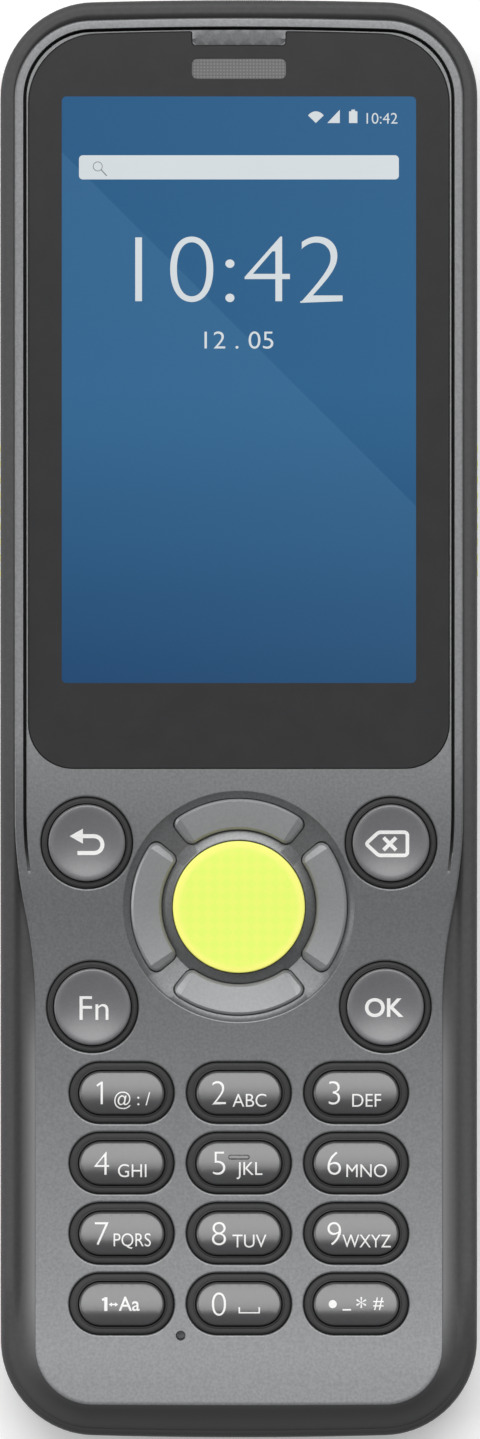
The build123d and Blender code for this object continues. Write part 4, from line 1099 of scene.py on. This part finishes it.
for name, turn in arc_turns.items():
    top = arc_top(turn)
    bm = bmesh.new()
    rim = footed(bm, arc_outline(turn, 0.0), arc_outline(turn, foot_overhang))
    rim = roll(bm, rim, 0.0, lowered(top, arc_round))
    rim = roll(bm, rim, arc_round * 0.3, lowered(top, arc_round * 0.45))
    rim = roll(bm, rim, arc_round * 0.7, top)
    close(bm, rim, spacing=arc_net, height=top)
    for side in (-1, 1):
        angle = math.radians(turn) + side * (arc_half_angle - facet / arc_middle)
        bmesh.ops.bisect_plane(bm, geom=bm.verts[:] + bm.edges[:] + bm.faces[:], dist=merge_reach,
                               plane_co=(0, navigation_y, 0),
                               plane_no=(-math.sin(angle), math.cos(angle), 0))
    for point in bm.verts:
        if point.co.z > top(*point.co.xy) - arc_round * 0.35:
            point.co.z = top(*point.co.xy)
    cap = made_piece(name + "_cap", bm, name, "arc_key_plastic", arc_satin, sharp=12.0)
    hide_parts(name)

scan_rise = 0.85
scan_round = 0.2
scan_net = 1.0
scan_foot = 0.35
scan_edge = (1.1, 0.5)  # the paler edge starts this far in, and is full this far in
grip_pitch = 1.1
# Silicone rubber, moulded in lime: vivid and dull, with a faint grip pattern and a paler edge.
lime_moulding, tree, place, shader = new_material("lime_silicone_rubber", Roughness=0.5)
turned = add(tree, "Mapping", {"Vector": place, "Rotation": (0, 0, math.radians(45)),
                               "Scale": (1, 1, 0)})
grip = add(tree, "TexChecker", {"Vector": turned, "Scale": 1 / (grip_pitch * mm),
                                "Color1": "#ecff6e", "Color2": "#f1ff73"})
out = add(tree, "VectorMath", {0: place, 1: (0, navigation_y * mm, deck(navigation_y) * mm)},
          operation="DISTANCE").outputs["Value"]
edge = add(tree, "MapRange", {"Value": out, "From Min": (scan_radius - scan_edge[0]) * mm,
                              "From Max": (scan_radius - scan_edge[1]) * mm})
tone = add(tree, "Mix", {0: edge, 6: grip, 7: "#ffff80"}, data_type="RGBA")
grain = add(tree, "TexNoise", {"Vector": place, "Scale": 1200.0})
relief = add(tree, "Bump", {"Height": grain, "Strength": 0.4, "Distance": 0.004 * mm})
feed(shader, {"Base Color": tone, "Normal": relief})
bm = bmesh.new()
rim = footed(bm, circle((0, navigation_y), scan_radius, 128),
             circle((0, navigation_y), scan_radius + scan_foot, 16))
rim = roll(bm, rim, 0.0, over(scan_rise - scan_round))
rim = smooth_rim(bm, rim, over(scan_rise), scan_round, steps=5)
close(bm, rim, spacing=scan_net, height=over(scan_rise))
cap = made_piece("scan_key_cap", bm, "scan_key", "lime_key", lime_moulding)
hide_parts("scan_key")


# ---- Rear housing ----
# The back half of the case, moulded in dark grey ABS and polycarbonate with a fine
# spark-eroded grain. A silicone cord in a groove seals it against the front half.
edge_ease = 0.15
smooth_under = math.radians(35)
even_shade = bpy.data.node_groups.new("shade_rounds_smooth", "GeometryNodeTree")
for way in ("INPUT", "OUTPUT"):
    even_shade.interface.new_socket("Geometry", in_out=way, socket_type="NodeSocketGeometry")
ends = [even_shade.nodes.new("NodeGroup" + way) for way in ("Input", "Output")]
bend = even_shade.nodes.new("GeometryNodeInputMeshEdgeAngle")
soft = even_shade.nodes.new("FunctionNodeCompare")
soft.operation = "LESS_THAN"
soft.inputs[1].default_value = smooth_under
faces = even_shade.nodes.new("GeometryNodeSetShadeSmooth")
edges = even_shade.nodes.new("GeometryNodeSetShadeSmooth")
edges.domain = "EDGE"
for source, target in ((ends[0].outputs[0], faces.inputs["Geometry"]),
                       (faces.outputs[0], edges.inputs["Geometry"]),
                       (bend.outputs["Unsigned Angle"], soft.inputs[0]),
                       (soft.outputs[0], edges.inputs["Shade Smooth"]),
                       (edges.outputs[0], ends[1].inputs[0])):
    even_shade.links.new(source, target)


def dress(name, material, ease=edge_ease):
    """Gives a part of the frame its finish, merges its triangles and eases its edges."""
    part = nodes[name]
    for at in range(len(part.material_slots)):
        part.material_slots[at].material = material
    part.modifiers.new("merge", "WELD").merge_threshold = 0.001 * mm
    if ease:
        bevel = part.modifiers.new("ease", "BEVEL")
        bevel.width = ease * mm
        bevel.segments = 2
        bevel.limit_method = "ANGLE"
        bevel.angle_limit = math.radians(40)
    part.modifiers.new("shade", "NODES").node_group = even_shade
    part.modifiers.new("even_normals", "WEIGHTED_NORMAL").keep_sharp = True


# Spark-eroded ABS: dull, with a fine even tooth that breaks up any reflection.
grained_moulding = finish("spark_eroded_dark_moulding", "#3c3d3f", "#48494b", 0.58, size=0.5,
                          bump=0.02)
# Silicone cord: black, with a soft sheen.
seal_cord = finish("black_silicone_cord", "#1b1b1c", "#242425", 0.5, size=0.6)
dress("rear_housing", grained_moulding)
dress("housing_gasket", seal_cord, ease=0)


# ---- Screws and inserts ----
# Six black socket screws go up through the back into knurled brass inserts, which are melted
# into the bosses of the front housing.
# Black oxide on steel: almost black, with a dull metal shine.
black_oxide = finish("black_oxide_steel", "#2a2a2b", "#38383a", 0.38, size=0.25, amount=0.6,
                     bump=0.003, Metallic=0.85)
# Turned brass: warm yellow, a little stained.
turned_brass = finish("turned_brass", "#b8935a", "#a07c48", 0.3, bump=0.004, Metallic=1.0)
dress("housing_screws", black_oxide, ease=0.1)
dress("screw_inserts", turned_brass, ease=0.05)


# ---- Side keys and power key ----
# A lime scan key with nine grip ridges comes through each side of the case, and a plain dark
# power key through the right side. Behind each is a small switch in a pressed steel can.
dress("scan_key_left", lime_moulding, ease=0.12)
dress("scan_key_right", lime_moulding, ease=0.12)
dress("power_key", collar_black, ease=0.25)
# Pressed steel: grey and bright, with faint rolling marks.
pressed_steel = finish("pressed_stainless_steel", "#a9abad", "#979a9d", 0.32, size=0.8, amount=0.6,
                       bump=0.003, Metallic=1.0)
dress("side_switches", pressed_steel, ease=0.05)


# ---- Scan window and scan engine ----
# A bar of red tinted acrylic closes the top end. The scan engine behind it is a black
# moulded block with the hole of its reader and the slot of its aimer.
# Tinted acrylic: deep red, with a mirror-smooth face.
tinted_acrylic = finish("deep_red_tinted_acrylic", "#3a080c", "#4a0c11", 0.05, size=6.0, amount=0.6,
                        bump=0.0003)
# Moulded black nylon: dull, with a faint grain.
black_nylon = finish("black_moulded_nylon", "#1f1f21", "#2a2a2c", 0.5, bump=0.006)
dress("scan_window", tinted_acrylic, ease=0.25)
dress("scan_engine", black_nylon)


# ---- Earpiece ----
# A plain weave of painted steel wire fills the slot in the lens, over a small black receiver.
wire_pitch = 0.42  # drawn about three times too coarse, so that it shows
# Painted wire: mid grey, with small dull glints where the wires cross.
mesh_paint, tree, place, shader = new_material("painted_wire_mesh", Roughness=0.5)
wires = [add(tree, "TexWave", {"Vector": place, "Scale": math.tau / 20 / (wire_pitch * mm)},
             bands_direction=way).outputs["Fac"] for way in ("X", "Y")]
cloth = add(tree, "Math", {0: wires[0], 1: wires[1]}, operation="MULTIPLY")
tone = add(tree, "Mix", {0: cloth, 6: "#5f5f60", 7: "#7e7e7f"}, data_type="RGBA")
relief = add(tree, "Bump", {"Height": cloth, "Strength": 0.4, "Distance": 0.05 * mm})
feed(shader, {"Base Color": tone, "Normal": relief})
dress("earpiece_mesh", mesh_paint, ease=0)
dress("earpiece", black_nylon)


# ---- Port, charging contacts and strap bar ----
# In the lower end are the charging socket, a drawn steel shell round a black tongue, six gold
# plated pads in the back for a cradle, and a steel bar across a well for the wrist strap.
tongue_half = (3.35, 0.4)
# Drawn steel: bright, with fine lines along the draw. The moulded tongue in it is plain black.
port_steel, tree, place, shader = new_material("drawn_steel_shell_with_black_tongue",
                                               Roughness=0.3)
spot = add(tree, "SeparateXYZ", {0: place}).outputs
high = add(tree, "Math", {0: spot["Z"], 1: usb_z * mm}, operation="SUBTRACT")
off = [add(tree, "Math", {0: way}, operation="ABSOLUTE") for way in (spot["X"], high)]
inside = [add(tree, "Math", {0: value, 1: half * mm}, operation="LESS_THAN")
          for value, half in zip(off, tongue_half)]
tongue = add(tree, "Math", {0: inside[0], 1: inside[1]}, operation="MULTIPLY")
stretched = add(tree, "Mapping", {"Vector": place, "Scale": (1.0, 12.0, 1.0)})
drawn = add(tree, "TexNoise", {"Vector": stretched, "Scale": 300.0})
steel = add(tree, "Mix", {0: drawn, 6: "#9a9c9e", 7: "#b4b6b8"}, data_type="RGBA")
tone = add(tree, "Mix", {0: tongue, 6: steel, 7: "#19191a"}, data_type="RGBA")
metal = add(tree, "Math", {0: 1.0, 1: tongue}, operation="SUBTRACT")
feed(shader, {"Base Color": tone, "Metallic": metal})
# Gold over nickel: warm and bright, with fine rub marks.
gold_plate = finish("gold_plated_contact", "#d6ae62", "#c09a52", 0.22, size=0.5, amount=0.4,
                    bump=0.002, Metallic=1.0)
dress("usb_port", port_steel, ease=0.06)
dress("cradle_contacts", gold_plate, ease=0.2)
dress("strap_bar", pressed_steel, ease=0.1)


# ---- Rear camera and flash ----
# A disc of dark glass printed with a black ring lies over the camera, beside a small frosted
# lens over the flash. The camera is a square black module with a lens barrel.
camera_place = (0.0, 58.0)
flash_place = (9.5, 58.0)
camera_rings = [  # radius in mm and colour, from the middle of the lens outwards
    (0.0, "#05060a"), (0.9, "#10131f"), (1.5, "#1c2030"), (2.0, "#0b0c10"), (2.6, "#2b2c2f"),
    (2.8, "#0d0d0e"), (4.7, "#161617"), (4.85, "#303032")]
window_radius = 5.0
# Printed glass: near black and mirror smooth, with faint rings where the lens lies behind it.
camera_glass, tree, place, shader = new_material("printed_dark_camera_glass", Roughness=0.06)
flat = add(tree, "Mapping", {"Vector": place, "Scale": (1, 1, 0)})
out = add(tree, "VectorMath", {0: flat, 1: (camera_place[0] * mm, camera_place[1] * mm, 0)},
          operation="DISTANCE").outputs["Value"]
reach = add(tree, "MapRange", {"Value": out, "From Max": window_radius * mm})
rings = add(tree, "ValToRGB", {"Fac": reach})
stops = rings.color_ramp.elements
for at, (radius, tone) in enumerate(camera_rings):
    stop = stops[at] if at < 2 else stops.new(1.0)
    stop.position = radius / window_radius
    stop.color = linear(tone)
feed(shader, {"Base Color": rings})
rib_pitch = 0.35
# Frosted acrylic: cream, with fine moulded rings that scatter the light.
flash_frost, tree, place, shader = new_material("frosted_ribbed_flash_lens", Roughness=0.2)
centred = add(tree, "Mapping", {
    "Vector": place, "Location": (-flash_place[0] * mm, -flash_place[1] * mm, 0)})
ribs = add(tree, "TexWave", {"Vector": centred, "Scale": math.tau / 20 / (rib_pitch * mm)},
           wave_type="RINGS", rings_direction="Z").outputs["Fac"]
tone = add(tree, "Mix", {0: ribs, 6: "#d9d6bd", 7: "#f0eedd"}, data_type="RGBA")
relief = add(tree, "Bump", {"Height": ribs, "Strength": 0.5, "Distance": 0.04 * mm})
feed(shader, {"Base Color": tone, "Normal": relief})
dress("camera_window", camera_glass, ease=0.12)
dress("flash_lens", flash_frost, ease=0.12)
dress("rear_camera", black_nylon)


# ---- Battery pack and latch ----
# The pack is a moulded skin welded to a tray that holds a sleeved cell. Two hooks hold its
# upper edge, and a small grooved slide at the lower edge bolts it to the rear housing.
# Acetal: a lighter, slightly waxy grey.
grey_acetal = finish("waxy_grey_acetal", "#5f6062", "#696a6c", 0.42, size=0.5, amount=0.4,
                     bump=0.004)
# Shrink sleeve: dark film that is glossy and a little wrinkled.
cell_sleeve = finish("dark_shrink_sleeve", "#303133", "#3b3c3f", 0.25, size=5.0, amount=0.6,
                     bump=0.06)
dress("battery_cover", grained_moulding, ease=0.12)
dress("battery_latch", grey_acetal, ease=0.08)
dress("battery_cell", cell_sleeve, ease=0.4)
dress("pack_contacts", gold_plate, ease=0.04)
dress("battery_terminals", black_nylon, ease=0.1)


# ---- Boards and parts inside the case ----
# A cast frame carries the display; under the keypad lie a silicone sheet, steel domes and the
# main board with its soldered cans. The speaker, motor, microphone and aerial lie round it.
track_pitch = 1.6
# Solder mask: glossy green lacquer, lighter where the copper tracks run under it.
solder_mask, tree, place, shader = new_material("green_solder_mask_over_tracks", Roughness=0.35)
tracks = add(tree, "TexBrick", {
    "Vector": place, "Color1": "#0e4a2b", "Color2": "#115433",
    "Mortar": "#1d6b45", "Scale": 1.0, "Mortar Size": 0.1 * track_pitch * mm,
    "Brick Width": 3 * track_pitch * mm, "Row Height": track_pitch * mm})
cover = add(tree, "TexNoise", {"Vector": place, "Scale": 700.0})
relief = add(tree, "Bump", {"Height": cover, "Strength": 0.3, "Distance": 0.01 * mm})
feed(shader, {"Base Color": tracks, "Normal": relief})
# Cast magnesium: pale grey, dull and lightly pitted.
cast_magnesium = finish("as_cast_magnesium", "#8f9193", "#7d7f82", 0.55, size=0.9, amount=0.7,
                        bump=0.03, Metallic=0.9)
# Silicone sheet: mid grey, soft and dull.
keypad_silicone = finish("grey_silicone_sheet", "#6e6f70", "#7a7b7c", 0.6, size=0.8, amount=0.4,
                         bump=0.008)
# Polyimide film: amber, with the copper under it showing.
polyimide = finish("amber_polyimide_film", "#a8691f", "#8c5216", 0.3, size=2.0, amount=0.6,
                   bump=0.004)
# Display glass with its black bezel tape: near black and smooth.
panel_black = finish("black_display_module", "#15171b", "#1d2026", 0.15, size=4.0, bump=0.0005)
for name, material, ease in (
        ("main_board", solder_mask, 0.05), ("shield_cans", pressed_steel, 0.1),
        ("dome_switches", pressed_steel, 0), ("keypad_membrane", keypad_silicone, 0.08),
        ("mid_frame", cast_magnesium, 0.1), ("display_module", panel_black, 0.1),
        ("speaker", black_nylon, 0.15), ("vibration_motor", pressed_steel, 0.1),
        ("microphone", pressed_steel, 0.08), ("antenna", polyimide, 0)):
    dress(name, material, ease)
